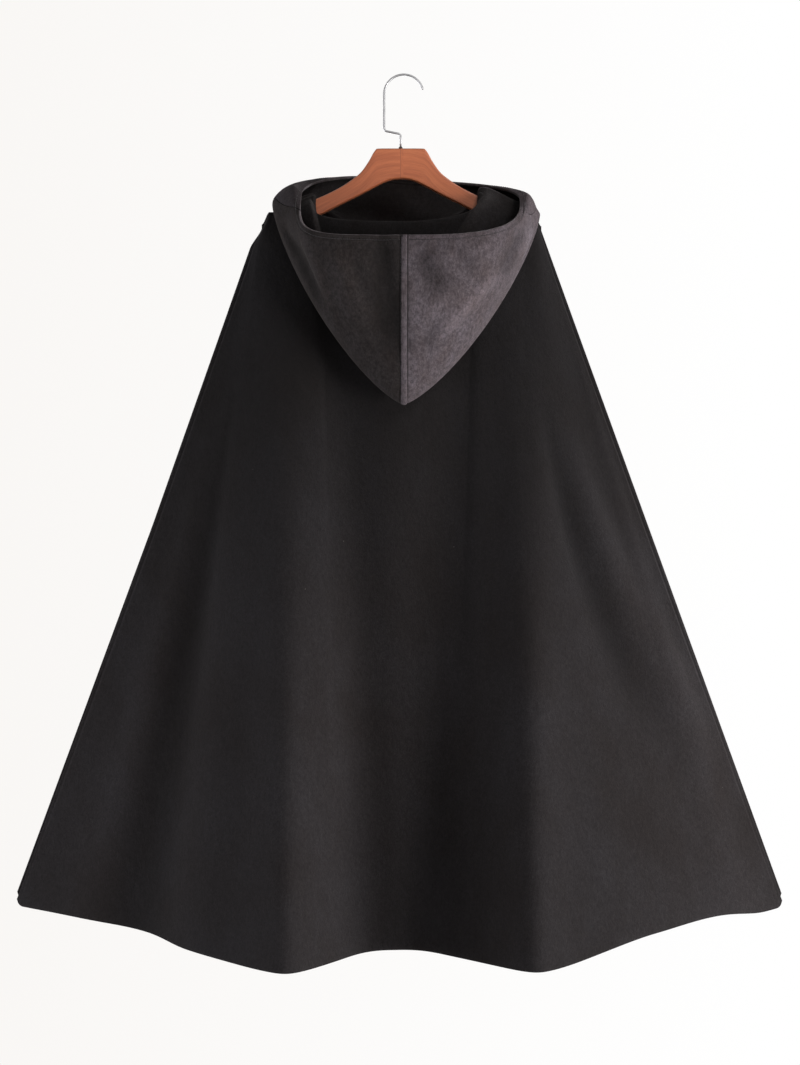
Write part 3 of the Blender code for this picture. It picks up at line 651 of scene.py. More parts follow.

# %% [markdown]
# ## Napped wool
# The cloth is a charcoal wool brushed into a nap. Three things make it look like wool rather than paint:
# short fibres that break up the colour, a soft sheen where they stand up against the light, and a slightly
# lumpy surface. The fibres lie downwards on the body, and on the hood they were brushed the other way. Its
# two halves are cut mirrored. The right half, which faces the light, is painted lighter as painted light,
# the left half darker as painted shade, and the turned face edge lighter still as a painted highlight.
# Ridges are painted lighter and troughs darker, as painted light and shade, so each piece carries a value of
# it.


# %% Nodes and their inputs
def new_finish(name):
    finish = bpy.data.materials.new(name)
    finish.use_nodes = True
    tree = finish.node_tree
    return finish, tree, tree.nodes["Principled BSDF"]


def add_node(tree, kind, settings=None, **inputs):
    """A new node with its settings and the values of its inputs."""
    node = tree.nodes.new(kind)
    for key, value in (settings or {}).items():
        setattr(node, key, value)
    for key, value in inputs.items():
        node.inputs[key.replace("_", " ")].default_value = value
    return node


def feed(tree, socket, value):
    """Gives an input a value, or links another node's output to it."""
    if hasattr(value, "links"):
        tree.links.new(value, socket)
    else:
        socket.default_value = value


def object_place(tree, scale=(1.0, 1.0, 1.0)):
    """Coordinates in metres on the object, stretched by scale."""
    place = add_node(tree, "ShaderNodeTexCoord")
    mapping = add_node(tree, "ShaderNodeMapping", Scale=scale)
    tree.links.new(place.outputs["Object"], mapping.inputs["Vector"])
    return mapping.outputs["Vector"]


print("the helpers that make nodes are ready")


# %% Tones, textures and maths
def colours_of(tree, factor, stops):
    ramp = add_node(tree, "ShaderNodeValToRGB")
    for element, stop in zip(ramp.color_ramp.elements, (stops[0], stops[-1])):
        element.position = stop[0]
        element.color = (*stop[1], 1.0)
    for position, colour in stops[1:-1]:
        ramp.color_ramp.elements.new(position).color = (*colour, 1.0)
    tree.links.new(factor, ramp.inputs["Fac"])
    return ramp.outputs["Color"]


def noise(tree, place, scale, detail=4.0, rough=0.6):
    node = add_node(tree, "ShaderNodeTexNoise", Scale=scale, Detail=detail, Roughness=rough)
    tree.links.new(place, node.inputs["Vector"])
    return node.outputs["Fac"]


def bumped(tree, height, distance, strength=1.0, under=None):
    bump = add_node(tree, "ShaderNodeBump", Strength=strength, Distance=distance)
    tree.links.new(height, bump.inputs["Height"])
    if under is not None:
        tree.links.new(under, bump.inputs["Normal"])
    return bump.outputs["Normal"]


def mixed_colour(tree, blend, factor, first, second):
    mix = add_node(tree, "ShaderNodeMix", {"data_type": "RGBA", "blend_type": blend})
    for number, value in ((0, factor), (6, first), (7, second)):
        feed(tree, mix.inputs[number], value)
    return mix.outputs[2]


def maths(tree, operation, *values):
    """A maths node. Each value is a number or another node's output."""
    node = add_node(tree, "ShaderNodeMath", {"operation": operation})
    for socket, value in zip(node.inputs, values):
        feed(tree, socket, value)
    return node.outputs[0]


print("the helpers that mix colours are ready")


# %% Mix the tones of wool
PAINTED_LIGHT_GAIN = 0.55  # how much lighter a point at full painted light is, and darker at full painted shade
LINT_CELLS = 55.0  # places in a metre where a speck of lint may lie
LINT_SIZE = 0.024  # radius of a speck, as a share of its place
LINT_RARE = 0.80  # share of the places that stay clean
LINT_COLOUR = (0.22, 0.20, 0.19, 1.0)


def napped_wool(name, dark, light, sheen, sheen_tint, mottle, grain, darker_along=None):
    """mottle is the number of soft patches in a metre, and grain how much the tufts differ in tone.
    The last argument, if given, darkens the tone along an axis: it is the axis, the place on it where the
    tone is darkest, the place where it is whole again, and how dark it is there."""
    finish, tree, shader = new_finish(name)
    fibres = noise(tree, object_place(tree, (1.0, 1.0, 0.45)), 900.0, 6.0, 0.72)
    tufts = noise(tree, object_place(tree, (1.0, 1.0, 0.7)), 230.0, 5.0, 0.7)
    clouds = noise(tree, object_place(tree, (1.0, 1.0, 0.6)), mottle, 6.0, 0.62)
    base = colours_of(tree, fibres, ((0.30, dark), (0.72, light)))
    shade = colours_of(tree, clouds, ((0.34, (0.80, 0.75, 0.72)), (0.66, (1.14, 1.16, 1.20))))
    tuft_shade = colours_of(tree, tufts, ((0.36, (0.62, 0.62, 0.62)), (0.64, (1.34, 1.34, 1.34))))
    colour = mixed_colour(tree, "MULTIPLY", 1.0, base, shade)
    colour = mixed_colour(tree, "MULTIPLY", grain, colour, tuft_shade)
    # Darker along one axis: from its darkest place the tone grows back to the whole of it.
    if darker_along:
        axis, darkest_at, full_tone_at, tone = darker_along
        split = add_node(tree, "ShaderNodeSeparateXYZ")
        tree.links.new(object_place(tree), split.inputs["Vector"])
        stand = add_node(tree, "ShaderNodeMapRange", {"interpolation_type": "SMOOTHSTEP"},
                         From_Min=darkest_at, From_Max=full_tone_at)
        tree.links.new(split.outputs[axis], stand.inputs["Value"])
        axis_tone = colours_of(tree, stand.outputs["Result"], ((0.0, (tone,) * 3), (1.0, (1.0,) * 3)))
        colour = mixed_colour(tree, "MULTIPLY", 1.0, colour, axis_tone)
    # Painted light and shade: each point's value makes ridges, seam edges and the bulges over the shoulders
    # lighter, and troughs and the rest of the rolls darker.
    light_paint = add_node(tree, "ShaderNodeAttribute", {"attribute_name": "painted_light_and_shade"})
    lighter = maths(tree, "MULTIPLY_ADD", light_paint.outputs["Fac"], PAINTED_LIGHT_GAIN, 1.0)
    colour = mixed_colour(tree, "MULTIPLY", 1.0, colour, lighter)
    specks = add_node(tree, "ShaderNodeTexVoronoi", Scale=LINT_CELLS)
    tree.links.new(object_place(tree), specks.inputs["Vector"])
    small = maths(tree, "LESS_THAN", specks.outputs["Distance"], LINT_SIZE)
    few = maths(tree, "GREATER_THAN", specks.outputs["Color"], LINT_RARE)
    lint = maths(tree, "MULTIPLY", small, few)
    colour = mixed_colour(tree, "MIX", lint, colour, LINT_COLOUR)
    tree.links.new(colour, shader.inputs["Base Color"])
    shader.inputs["Roughness"].default_value = 0.95
    shader.inputs["Specular IOR Level"].default_value = 0.15
    shader.inputs["Sheen Weight"].default_value = sheen
    shader.inputs["Sheen Roughness"].default_value = 0.55
    shader.inputs["Sheen Tint"].default_value = (*sheen_tint, 1.0)
    lumps = bumped(tree, noise(tree, object_place(tree, (1.0, 1.0, 0.7)), 45.0, 3.0), 1.8 * MM, 0.6)
    nap = bumped(tree, tufts, 0.9 * MM, 0.8, lumps)
    tree.links.new(bumped(tree, fibres, 0.35 * MM, 0.8, nap), shader.inputs["Normal"])
    return finish


print("a speck of lint is", round(LINT_SIZE / LINT_CELLS / MM, 2), "mm in radius")

# %% The six wools
# The body's wool is darker towards the top: it has 0.54 of its tone above Z -0.35 and all of it below Z
# -0.95.
body_wool = napped_wool("wool_nap_down", (0.0092, 0.0081, 0.0084), (0.0250, 0.0224, 0.0232), 0.05,
                        (0.62, 0.58, 0.60), 9.0, 0.45, ("Z", -0.35, -0.95, 0.54))
# Painted light: the hood's right half, which faces the light, is painted lighter.
painted_light_wool = napped_wool("wool_hood_painted_light", (0.0400, 0.0332, 0.0366), (0.106, 0.089, 0.098), 0.16,
                        (0.78, 0.70, 0.74), 34.0, 1.0)
# Painted shade: the hood's left half, which faces away from the light, is painted darker.
painted_shade_wool = napped_wool("wool_hood_painted_shade", (0.0112, 0.0094, 0.0091), (0.0310, 0.0261, 0.0256), 0.05,
                        (0.72, 0.66, 0.64), 34.0, 1.0)
# Painted shade: the front band has the right half's lighter tone, and is painted darker on its left side,
# down to 0.28 of it.
band_wool = napped_wool("wool_band_painted_light_and_shade", (0.0400, 0.0332, 0.0366), (0.106, 0.089, 0.098), 0.12,
                        (0.78, 0.70, 0.74), 34.0, 1.0, ("X", -0.05, 0.10, 0.28))
# Painted highlight: the turned face edge is painted lighter than the hood, with more sheen.
painted_highlight_wool = napped_wool("wool_turned_edge_painted_highlight", (0.052, 0.046, 0.048), (0.135, 0.120, 0.126), 0.25,
                        (0.85, 0.80, 0.82), 60.0, 1.0)
inner_wool = napped_wool("wool_reverse", (0.0104, 0.0093, 0.0094), (0.0290, 0.0260, 0.0264), 0.05,
                         (0.6, 0.6, 0.6), 20.0, 0.6)
wools = (body_wool, painted_light_wool, painted_shade_wool, band_wool, painted_highlight_wool, inner_wool)
print("wool finishes:", [wool.name for wool in wools])

# %% [markdown]
# ## The two panels
# Both panels get their shells here. Along each side, 6 mm in from the edge, the seam that joins back and
# front shows as a narrow groove, because the allowances inside stiffen the cloth on each side of the
# stitching. A line just beside the groove and the edge itself are painted lighter, most of all near the
# shoulder, as painted highlights.

# %% Make the panels
SIDE_SEAM_IN = 6.0 * MM  # the seam's groove lies this far from the side edge
SIDE_SEAM_WIDE = 1.6 * MM
SIDE_SEAM_DEEP = 0.8 * MM
SEAM_HIGHLIGHT_IN = 7.5 * MM  # a painted highlight runs beside the groove, this far from the edge
SEAM_HIGHLIGHT_WIDE = 1.2 * MM
EDGE_HIGHLIGHT_WIDE = 2.0 * MM  # and another along the edge itself, over this much


def beside_seam(grid):
    """Distance of every point from the panel's nearer side edge, measured across."""
    from_left = length_along(grid.swapaxes(0, 1)).T
    return np.minimum(from_left, from_left[:, -1:] - from_left)


def make_panel(name, surface, solid, sign):
    grid, normal, down, painted_light_and_shade = surface
    beside = beside_seam(grid)
    groove = bell(beside - SIDE_SEAM_IN, SIDE_SEAM_WIDE)
    outer = CLOTH / 2 - SIDE_SEAM_DEEP * groove * soft_switch(down / 0.05)
    # Painted highlights: a line beside the groove and the edge are painted lighter, most near the shoulder
    # and fading towards the hem.
    light_paint = bell(beside - SEAM_HIGHLIGHT_IN, SEAM_HIGHLIGHT_WIDE) + bell(beside, EDGE_HIGHLIGHT_WIDE)
    painted_light_and_shade = painted_light_and_shade + 2.0 * light_paint * soft_switch(down / 0.04) * (1.0 - 0.8 * down)
    finishes = (body_wool, inner_wool)
    piece = cloth_shell(name, grid, normal, outer, CLOTH / 2, finishes, keep=(1, sign), painted_light_and_shade=painted_light_and_shade)
    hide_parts(solid)
    return piece


back_cloth = make_panel("back_cloth", back_surface, "back_panel", -1.0)
front_cloth = make_panel("front_cloth", front_surface, "front_panel", 1.0)
for piece in (back_cloth, front_cloth):
    print(piece.name, len(piece.data.polygons), "faces")

# %% [markdown]
# ## The hood's cloth
# The hood has two halves and a front band. Along the centre seam both allowances are turned outwards and
# stitched flat, which gives a raised strip. The face edge is turned in and stitched, so it is thicker for
# about 9 mm. Rows of points are measured from the face edge itself, so that this hem keeps its depth all
# the way round.

# %% Lay out the rows of the hood
STRIP_HALF = 4.0 * MM
STRIP_RAISE = 1.3 * MM
HEM_DEPTH = 9.0 * MM
HEM_RAISE = 1.8 * MM  # what the turned layer adds to the cloth
HEM_OUT = 0.35 * MM  # and how much of it shows outside
STITCH_IN = 7.3 * MM  # the hem's stitches lie this far from the face edge
STITCH_DENT = 0.6 * MM  # how deep they pull the cloth in
STITCH_DENT_WIDE = 0.8 * MM
HEM_ROWS = np.array((14, 12, 10.8, 10, 9.4, 9, 8.5, 8.0, 7.6, 7.3, 7.0, 6.5, 5.5, 4.2, 2.6, 0.0)) * MM
LOWER_ROWS = 140


def level_from_edge(angle, distance):
    """The level at a distance from the face edge, measured on the cloth at this angle."""
    levels = np.linspace(RING_AT[-1], 6.5, 400)
    length = length_along(hood_points(levels, np.full_like(levels, angle)))
    return np.interp(distance, length, levels)


def hood_rows(angles):
    """Levels of every row and column: spread over the hood below its hem, and by distance within it."""
    hem = np.stack([level_from_edge(angle, HEM_ROWS) for angle in angles], axis=1)
    levels = np.linspace(0.0, 1.0, 300)
    length = length_along(hood_points(levels * hem[0, 0], np.zeros_like(levels)))
    crowding = 0.6 * length / length[-1] + 0.4 * levels
    spread = np.interp(np.linspace(0.0, 1.0, LOWER_ROWS, endpoint=False), crowding, levels)[:, None]
    return np.concatenate([spread * hem[:1], hem])


def seam_angle(level, way):
    """The angle of the seam between the hood and its front band, half a gap to one side of it."""
    seam = np.radians(ring_value("seam", level))
    step = 0.002
    moved = hood_points(level, seam + way * step) - hood_points(level, seam)
    speed = np.linalg.norm(moved, axis=-1) / step
    return seam + way * BAND_GAP / 2 / speed


print("rows of the hood:", LOWER_ROWS + len(HEM_ROWS))

# %% [markdown]
# ## Creases of the hood
# The hood is soft where it hangs from the shoulders, so its outer layer is dented by a few folds that run
# from the face edge towards the point. They are given by their two ends, seen from behind.

# %% Place the creases of the hood
HOOD_CREASE_COLUMNS = ("from_x", "from_z", "to_x", "to_z", "width", "depth")  # mm
HOOD_CREASES = (
    (-137, -224, -88, -338, 4.2, 3.4),
    (-148, -228, -100, -336, 7, -3.4),
    (-159, -214, -141, -256, 4.5, -2.6),
    (-90, -250, -46, -372, 13, 2.4),
    (-66, -262, -36, -340, 7, -1.4),
    (-30, -232, -14, -410, 15, -5.0),
    (18, -250, 58, -322, 17, -3.6),
    (122, -280, 36, -372, 7, 4.2),
    (44, -344, 24, -384, 8, -2.2),
    (70, -250, 96, -292, 9, -1.6),
    (60, -300, 20, -352, 6, 1.2),
    (6, -364, 10, -388, 5, -1.6),
    (158, -216, 122, -292, 10, -3.2),
    (174, -214, 150, -262, 6, 2.6),
)
CREASES_FROM = 6.4  # level of the outer layer where its creases begin
CREASES_OVER = 0.8  # levels over which they grow


def hood_push(points, level):
    """How far the outer layer moves out at each point."""
    x, z = points[..., 0] / MM, points[..., 2] / MM
    push = np.zeros(points.shape[:-1])
    for row in HOOD_CREASES:
        crease = dict(zip(HOOD_CREASE_COLUMNS, row))
        run = np.array((crease["to_x"] - crease["from_x"], crease["to_z"] - crease["from_z"]), float)
        length = np.linalg.norm(run)
        run /= length
        along = ((x - crease["from_x"]) * run[0] + (z - crease["from_z"]) * run[1]) / length
        aside = (x - crease["from_x"]) * run[1] - (z - crease["from_z"]) * run[0]
        width = crease["width"] * (0.8 + 0.6 * np.clip(along, 0.0, 1.0))
        fade = soft_switch(along / 0.3 + 0.35) * soft_switch((1.0 - along) / 0.45)
        push += crease["depth"] * fade * bell(aside, width)
    return push * MM * soft_switch((level - CREASES_FROM) / CREASES_OVER)


def on_hood(level, angle, lift=0.0):
    """Points on the creased hood, lifted off the middle of its cloth, and the outside directions there."""
    points = hood_points(level, angle)
    outside = hood_normals(level, angle)
    return points + outside * (hood_push(points, level) + lift)[..., None], outside


print("creases of the hood:", len(HOOD_CREASES))


# %% Cut one half of the hood
HOOD_RIDGE_FULL_LIGHT_AT = 3.6 * MM  # a ridge of the hood this high gets the full painted light, and a trough this deep the full painted shade
BESIDE_SEAM = np.array((  # columns near the centre seam
    0.15, 0.8, 1.5, 2.2, 2.7, 3.1, 3.5, 3.9, 4.2, 4.5, 4.8, 5.2, 5.7, 6.4, 7.4, 8.8,
)) * MM
HALF_COLUMNS = 84  # from there to the front band
SIDE_CROWDING = 1.15  # they lie closer near the band, the more this is over 1


def hood_piece(name, angle_rows, levels, solid, wool, strip=0.0, keep=None):
    """A shell of the hood. strip says where it is raised beside the centre seam."""
    points, normal = on_hood(levels, angle_rows)
    from_edge = length_along(points[::-1])[::-1]
    turned_in = soft_switch((HEM_DEPTH + 0.5 * MM - from_edge) / (1.0 * MM))
    stitched = bell(from_edge - STITCH_IN, STITCH_DENT_WIDE)
    outer = CLOTH / 2 - STITCH_DENT * stitched + HEM_OUT * turned_in + STRIP_RAISE * strip
    inner = CLOTH / 2 + (HEM_RAISE - HEM_OUT) * turned_in
    rolled = roll_levels(levels) * (np.cos(angle_rows) > 0.0)
    # Painted light and shade: ridges of the hood's creases are painted lighter and troughs darker, and on
    # the rolls the bulges over the shoulders are painted lighter and the rest darker.
    painted_light_and_shade = np.clip(hood_push(points, levels) / HOOD_RIDGE_FULL_LIGHT_AT, -1.0, 1.0)
    painted_light_and_shade = painted_light_and_shade + rolled * (1.5 * roll_share(points[..., 0], points[..., 2], levels) - 0.4)
    # The face edge gets the edge wool, a painted highlight.
    finishes = (wool, inner_wool, painted_highlight_wool)
    piece = cloth_shell(name, points, normal, outer, inner, finishes, keep=keep, painted_light_and_shade=painted_light_and_shade)
    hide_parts(solid)
    return piece


def strip_profile(offset):
    """Height of the cloth by the centre seam, as a share of the strip's: raised, then a groove."""
    raised = 0.55 * soft_switch((STRIP_HALF - offset) / (1.6 * MM))
    return raised - 0.5 * bell(offset - STRIP_HALF - 0.4 * MM, 0.8 * MM)


def hood_half(name, side, solid, wool):
    way = "right" if side > 0 else "left"
    first = BESIDE_SEAM / RING[way][6]
    rough_angles = np.concatenate([first, np.linspace(first[-1], math.pi / 2, HALF_COLUMNS)[1:]])
    levels = hood_rows(side * rough_angles)
    side_width = ring_value(way, levels[:, 0])
    last = seam_angle(levels[:, -1], -1.0)
    share = np.linspace(0.0, 1.0, HALF_COLUMNS)[None, 1:]
    start = BESIDE_SEAM / side_width[:, None]
    rest = start[:, -1:] + (last[:, None] - start[:, -1:]) * (1.0 - (1.0 - share) ** SIDE_CROWDING)
    angles = side * np.concatenate([start, rest], axis=1)
    offset = np.abs(angles) * side_width[:, None]
    return hood_piece(name, angles, levels, solid, wool, strip_profile(offset), keep=(0, side))


print("columns of a half:", len(BESIDE_SEAM) + HALF_COLUMNS - 1)


# %% Make the hood and its centre seam
def seam_strip():
    """The allowances of the centre seam, stitched down as one rounded strip over it."""
    on_hem = level_from_edge(0.0, np.linspace(9.0, 0.6, 8) * MM)
    levels = np.unique(np.concatenate([np.linspace(6.2, 9.8, 150), on_hem]))
    offsets = np.array((-3.6, -3.3, -2.6, -1.4, 0.0, 1.4, 2.6, 3.3, 3.6)) * MM
    dome = np.sqrt(np.clip(1.0 - (offsets / (3.7 * MM)) ** 2, 0.0, 1.0))
    width = 0.5 * (ring_value("left", levels) + ring_value("right", levels))
    grid_levels, grid_offsets = np.meshgrid(levels, offsets, indexing="ij")
    angles = grid_offsets / width[:, None]
    normal = hood_normals(grid_levels, angles)
    waver = 0.25 * MM * np.sin(levels * 31.0) + 0.18 * MM * np.sin(levels * 73.0 + 1.0)
    sunk = 0.35 * MM
    base = hood_points(grid_levels, angles) + normal * (CLOTH / 2 + sunk)
    base[..., 0] += waver[:, None]
    rise = (STRIP_RAISE - 0.45 * MM) * dome
    return cloth_shell("centre_seam_strip", base, normal, rise, sunk, (painted_light_wool, inner_wool))


seam_cover = seam_strip()
# The left half gets the wool painted darker as shade, and the right half the wool painted lighter as light.
left_hood = hood_half("left_hood_cloth", -1.0, "hood_left", painted_shade_wool)
right_hood = hood_half("right_hood_cloth", 1.0, "hood_right", painted_light_wool)
print(left_hood.name, right_hood.name, len(left_hood.data.polygons), "faces each")


# %% Make the front band of the hood
BAND_COLUMNS = 120


def front_band():
    rough = np.radians(np.linspace(84.0, 276.0, BAND_COLUMNS))
    levels = hood_rows(rough)
    first = seam_angle(levels[:, 0], 1.0)
    last = 2.0 * math.pi - seam_angle(levels[:, -1], 1.0)
    angles = np.linspace(first, last, BAND_COLUMNS, axis=1)
    return hood_piece("hood_front_cloth", angles, levels, "hood_front", band_wool)


hood_band = front_band()
print(hood_band.name, len(hood_band.data.polygons), "faces")

# %% [markdown]
# ## Sewing
# The stitches are real little threads rather than a painted line: each is a short rounded stick that dips
# into the cloth at both ends. They run along both sides of the centre seam and round the face hem, about 3
# mm long.

# %% Thread
thread_finish, tree, shader = new_finish("charcoal_thread")
twist = add_node(tree, "ShaderNodeTexWave", {"bands_direction": "DIAGONAL"}, Scale=700.0, Distortion=1.0)
tree.links.new(object_place(tree), twist.inputs["Vector"])
twist_tones = ((0.2, (0.006, 0.005, 0.006)), (0.9, (0.022, 0.020, 0.021)))
tree.links.new(colours_of(tree, twist.outputs["Fac"], twist_tones), shader.inputs["Base Color"])
tree.links.new(bumped(tree, twist.outputs["Fac"], 0.1 * MM), shader.inputs["Normal"])
shader.inputs["Roughness"].default_value = 0.6
shader.inputs["Sheen Weight"].default_value = 0.1
STITCH = 3.1 * MM
STITCH_GAP = 0.7 * MM
THREAD = 0.30 * MM  # radius
STITCH_SHAPE = (  # share of its length, height in mm, share of the thread's thickness
    (0.0, -0.35, 0.55), (0.12, 0.05, 0.9), (0.35, 0.22, 1.0),
    (0.65, 0.22, 1.0), (0.88, 0.05, 0.9), (1.0, -0.35, 0.55),
)
THREAD_SIDES = 6


def stitches(name, lines):
    """Stitches along lines. Each line is an array of points and one of the outside directions there."""
    share, rise, thick = np.array(STITCH_SHAPE).T
    turns = np.linspace(0.0, 2.0 * math.pi, THREAD_SIDES, endpoint=False)
    points = []
    faces = []
    for path, outside in lines:
        length = length_along(path)
        for start in np.arange(STITCH_GAP, length[-1] - STITCH, STITCH + STITCH_GAP):
            stations = start + STITCH * share
            spine = np.stack([np.interp(stations, length, values) for values in path.T], axis=1)
            up = np.stack([np.interp(stations, length, values) for values in outside.T], axis=1)
            up = directions(up)
            along = directions(np.gradient(spine, axis=0))
            aside = directions(np.cross(along, up))
            faces += tube_faces(len(stations), THREAD_SIDES, len(points))
            for k in range(len(stations)):
                for turn in turns:
                    spread = aside[k] * math.cos(turn) + up[k] * math.sin(turn)
                    points.append(spine[k] + up[k] * rise[k] * MM + spread * THREAD * thick[k])
    return new_piece(name, points, faces, [thread_finish])


# %% Sew the hood
def hem_line(angles):
    levels = np.array([level_from_edge(angle, STITCH_IN) for angle in angles])
    return on_hood(levels, angles, CLOTH / 2 + 0.2 * MM)


def strip_line(side):
    levels = np.linspace(6.9, level_from_edge(0.0, 10.0 * MM), 160)
    offset = (STRIP_HALF + 0.5 * MM) / ring_value("right" if side > 0 else "left", levels)
    return on_hood(levels, side * offset, CLOTH / 2 - 0.45 * MM)


hem_stitches = stitches("face_hem_stitches", [hem_line(np.linspace(0.02, 2.0 * math.pi - 0.02, 420))])
seam_stitches = stitches("centre_seam_stitches", [strip_line(-1.0), strip_line(1.0)])
print("stitch faces:", len(hem_stitches.data.polygons) + len(seam_stitches.data.polygons))

# %% [markdown]
# ## The wooden hanger
# The hanger is two shaped arms glued together at the middle. The joint shows as a fine dark line, and the
# grain runs along each arm. A satin varnish gives the reddish wood a soft gloss.

# %% Varnished wood
JOINT_HALF = 0.28 * MM  # half the width of the dark line
wood_finish, tree, shader = new_finish("varnished_wood")
grain_place = add_node(tree, "ShaderNodeAttribute", {"attribute_name": "grain"})
stretch = add_node(tree, "ShaderNodeMapping", Scale=(1.0, 14.0, 9.0))
tree.links.new(grain_place.outputs["Vector"], stretch.inputs["Vector"])
rings = noise(tree, stretch.outputs["Vector"], 14.0, 5.0, 0.6)
pores = noise(tree, stretch.outputs["Vector"], 70.0, 3.0, 0.7)
wood_colour = colours_of(tree, rings, (
    (0.30, (0.385, 0.104, 0.043)), (0.48, (0.480, 0.138, 0.056)),
    (0.60, (0.545, 0.166, 0.068)), (0.75, (0.455, 0.128, 0.052)),
))
pore_shade = colours_of(tree, pores, ((0.34, (0.72, 0.68, 0.66)), (0.50, (1.0, 1.0, 1.0))))
wood_colour = mixed_colour(tree, "MULTIPLY", 0.5, wood_colour, pore_shade)
split = add_node(tree, "ShaderNodeSeparateXYZ")
tree.links.new(object_place(tree), split.inputs["Vector"])
on_joint = maths(tree, "LESS_THAN", maths(tree, "ABSOLUTE", split.outputs["X"]), JOINT_HALF)
wood_colour = mixed_colour(tree, "MIX", on_joint, wood_colour, (0.26, 0.078, 0.038, 1.0))
tree.links.new(wood_colour, shader.inputs["Base Color"])
tree.links.new(bumped(tree, pores, 0.12 * MM, 0.5), shader.inputs["Normal"])
shader.inputs["Roughness"].default_value = 0.42
shader.inputs["Coat Weight"].default_value = 0.35
shader.inputs["Coat Roughness"].default_value = 0.28
print("wood finish:", wood_finish.name)


# %% Shape the wood
OTHER_PLANK = 0.05  # the right arm's grain is taken this far aside, so the two arms differ


def wood_section(top, under):
    """Points round one cut across an arm, in Y and Z: a tall block with rounded edges."""
    half = WOOD_THICK / 2
    tall = (top - under) / 2
    turn = min(WOOD_ROUND, 0.9 * tall)
    quarter = [(half - turn + turn * math.cos(a), tall - turn + turn * math.sin(a))
               for a in np.radians(np.linspace(0.0, 90.0, 6))]
    quarter = [(half, (tall - turn) * 0.5)] + quarter + [(half - 1.5 * turn, tall)]
    side = quarter + [(-y, z) for y, z in reversed(quarter)]
    return np.array(side + [(-y, -z) for y, z in side]) + (0.0, (top + under) / 2)


def hanger_body():
    runs = ((0.0, 28.0, 8), (29.0, 44.0, 12), (47.0, 165.0, 42))  # from, to and how many cuts
    reach = np.concatenate([np.linspace(*run) for run in runs]) * MM
    top = glide(reach, ARM[:, 0], ARM[:, 1])
    under = glide(reach, ARM[:, 0], ARM[:, 2])
    stations = list(zip(reach, top, under))
    middle = (ARM[-1, 1] + ARM[-1, 2]) / 2
    for turn in np.radians(np.linspace(0.0, 88.0, 12)[1:]):
        tall = ARM_END * math.cos(turn)
        stations.append((reach[-1] + ARM_END * math.sin(turn), middle + tall, middle - tall))
    stations = [(-r, top, under) for r, top, under in stations[:0:-1]] + stations
    sections = [(r, wood_section(top, under)) for r, top, under in stations]
    points = [(r, y, z) for r, section in sections for y, z in section]
    around = len(sections[0][1])
    faces = tube_faces(len(sections), around)
    piece = new_piece("hanger_body", points, faces, [wood_finish], (WOOD_MIDDLE, 0.0, 0.0))
    grain = piece.data.attributes.new("grain", "FLOAT_VECTOR", "POINT")
    for i, (x, y, z) in enumerate(points):
        top, under = stations[i // around][1:]
        grain.data[i].vector = (abs(x), z - 0.5 * (top + under), y + (OTHER_PLANK if x > 0.0 else 0.0))
    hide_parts("hanger_wood")
    return piece


hanger = hanger_body()
print("hanger:", len(hanger.data.polygons), "faces")

# %% [markdown]
# ## The hook
# The hook is a single steel wire. It turns over the rail, comes down one side, cranks in to the middle and
# goes into the wood, where a small dark collar closes the hole. Its free end is rounded so that it can't
# snag. A curve with a round bevel would also make a wire, but its free end would stay a flat cut.

# %% Steel wire
wire_finish, tree, shader = new_finish("polished_wire")
rub = noise(tree, object_place(tree, (1.0, 1.0, 0.1)), 1200.0, 3.0, 0.6)
steel_colour = colours_of(tree, rub, ((0.3, (0.30, 0.30, 0.31)), (0.7, (0.42, 0.42, 0.43))))
tree.links.new(steel_colour, shader.inputs["Base Color"])
rough = add_node(tree, "ShaderNodeMapRange", To_Min=0.4, To_Max=0.5)
tree.links.new(rub, rough.inputs["Value"])
tree.links.new(rough.outputs["Result"], shader.inputs["Roughness"])
shader.inputs["Metallic"].default_value = 1.0
collar_finish, tree, shader = new_finish("dark_collar")
dust = noise(tree, object_place(tree), 500.0)
collar_colour = colours_of(tree, dust, ((0.3, (0.02, 0.015, 0.012)), (0.7, (0.05, 0.035, 0.028))))
tree.links.new(collar_colour, shader.inputs["Base Color"])
shader.inputs["Roughness"].default_value = 0.5
print("metal finishes:", wire_finish.name, collar_finish.name)


# %% Bend the wire
WIRE = 3.0 * MM  # thickness
HOOK_RADIUS = 26.7 * MM  # of the turn over the rail, to the middle of the wire
HOOK_SHANK = 75.0 * MM  # the crank begins this far below the origin
HOOK_STEM = 79.4 * MM  # and ends this far below it
COLLAR = 2.9 * MM  # radius


def smooth_path(points, radius, steps=8):
    """A path of straight runs with its corners rounded."""
    path = [np.array(points[0], float)]
    for before, corner, after in zip(points, points[1:], points[2:]):
        corner = np.array(corner, float)
        back = np.array(before, float) - corner
        ahead = np.array(after, float) - corner
        cut = min(radius, 0.45 * np.linalg.norm(back), 0.45 * np.linalg.norm(ahead))
        start = corner + directions(back) * cut
        end = corner + directions(ahead) * cut
        for t in np.linspace(0.0, 1.0, steps):
            path.append((1 - t) ** 2 * start + 2 * t * (1 - t) * corner + t * t * end)
    path.append(np.array(points[-1], float))
    return np.array(path)


def wire_piece(name, path, radius, finish, sides=16):
    """A round wire along a path in the XZ plane, with a round first end."""
    along = directions(np.gradient(path, axis=0))
    aside = np.stack([-along[:, 1], along[:, 0]], axis=1)
    rings = []
    for turn in np.radians((80.0, 60.0, 40.0, 20.0)):
        rings.append((path[0] - along[0] * radius * math.sin(turn), aside[0], radius * math.cos(turn)))
    rings += [(p, s, radius) for p, s in zip(path, aside)]
    points = []
    for centre, side_way, size in rings:
        for turn in np.linspace(0.0, 2.0 * math.pi, sides, endpoint=False):
            x, z = centre + side_way * size * math.cos(turn)
            points.append((x, size * math.sin(turn), z))
    return new_piece(name, points, tube_faces(len(rings), sides), [finish])


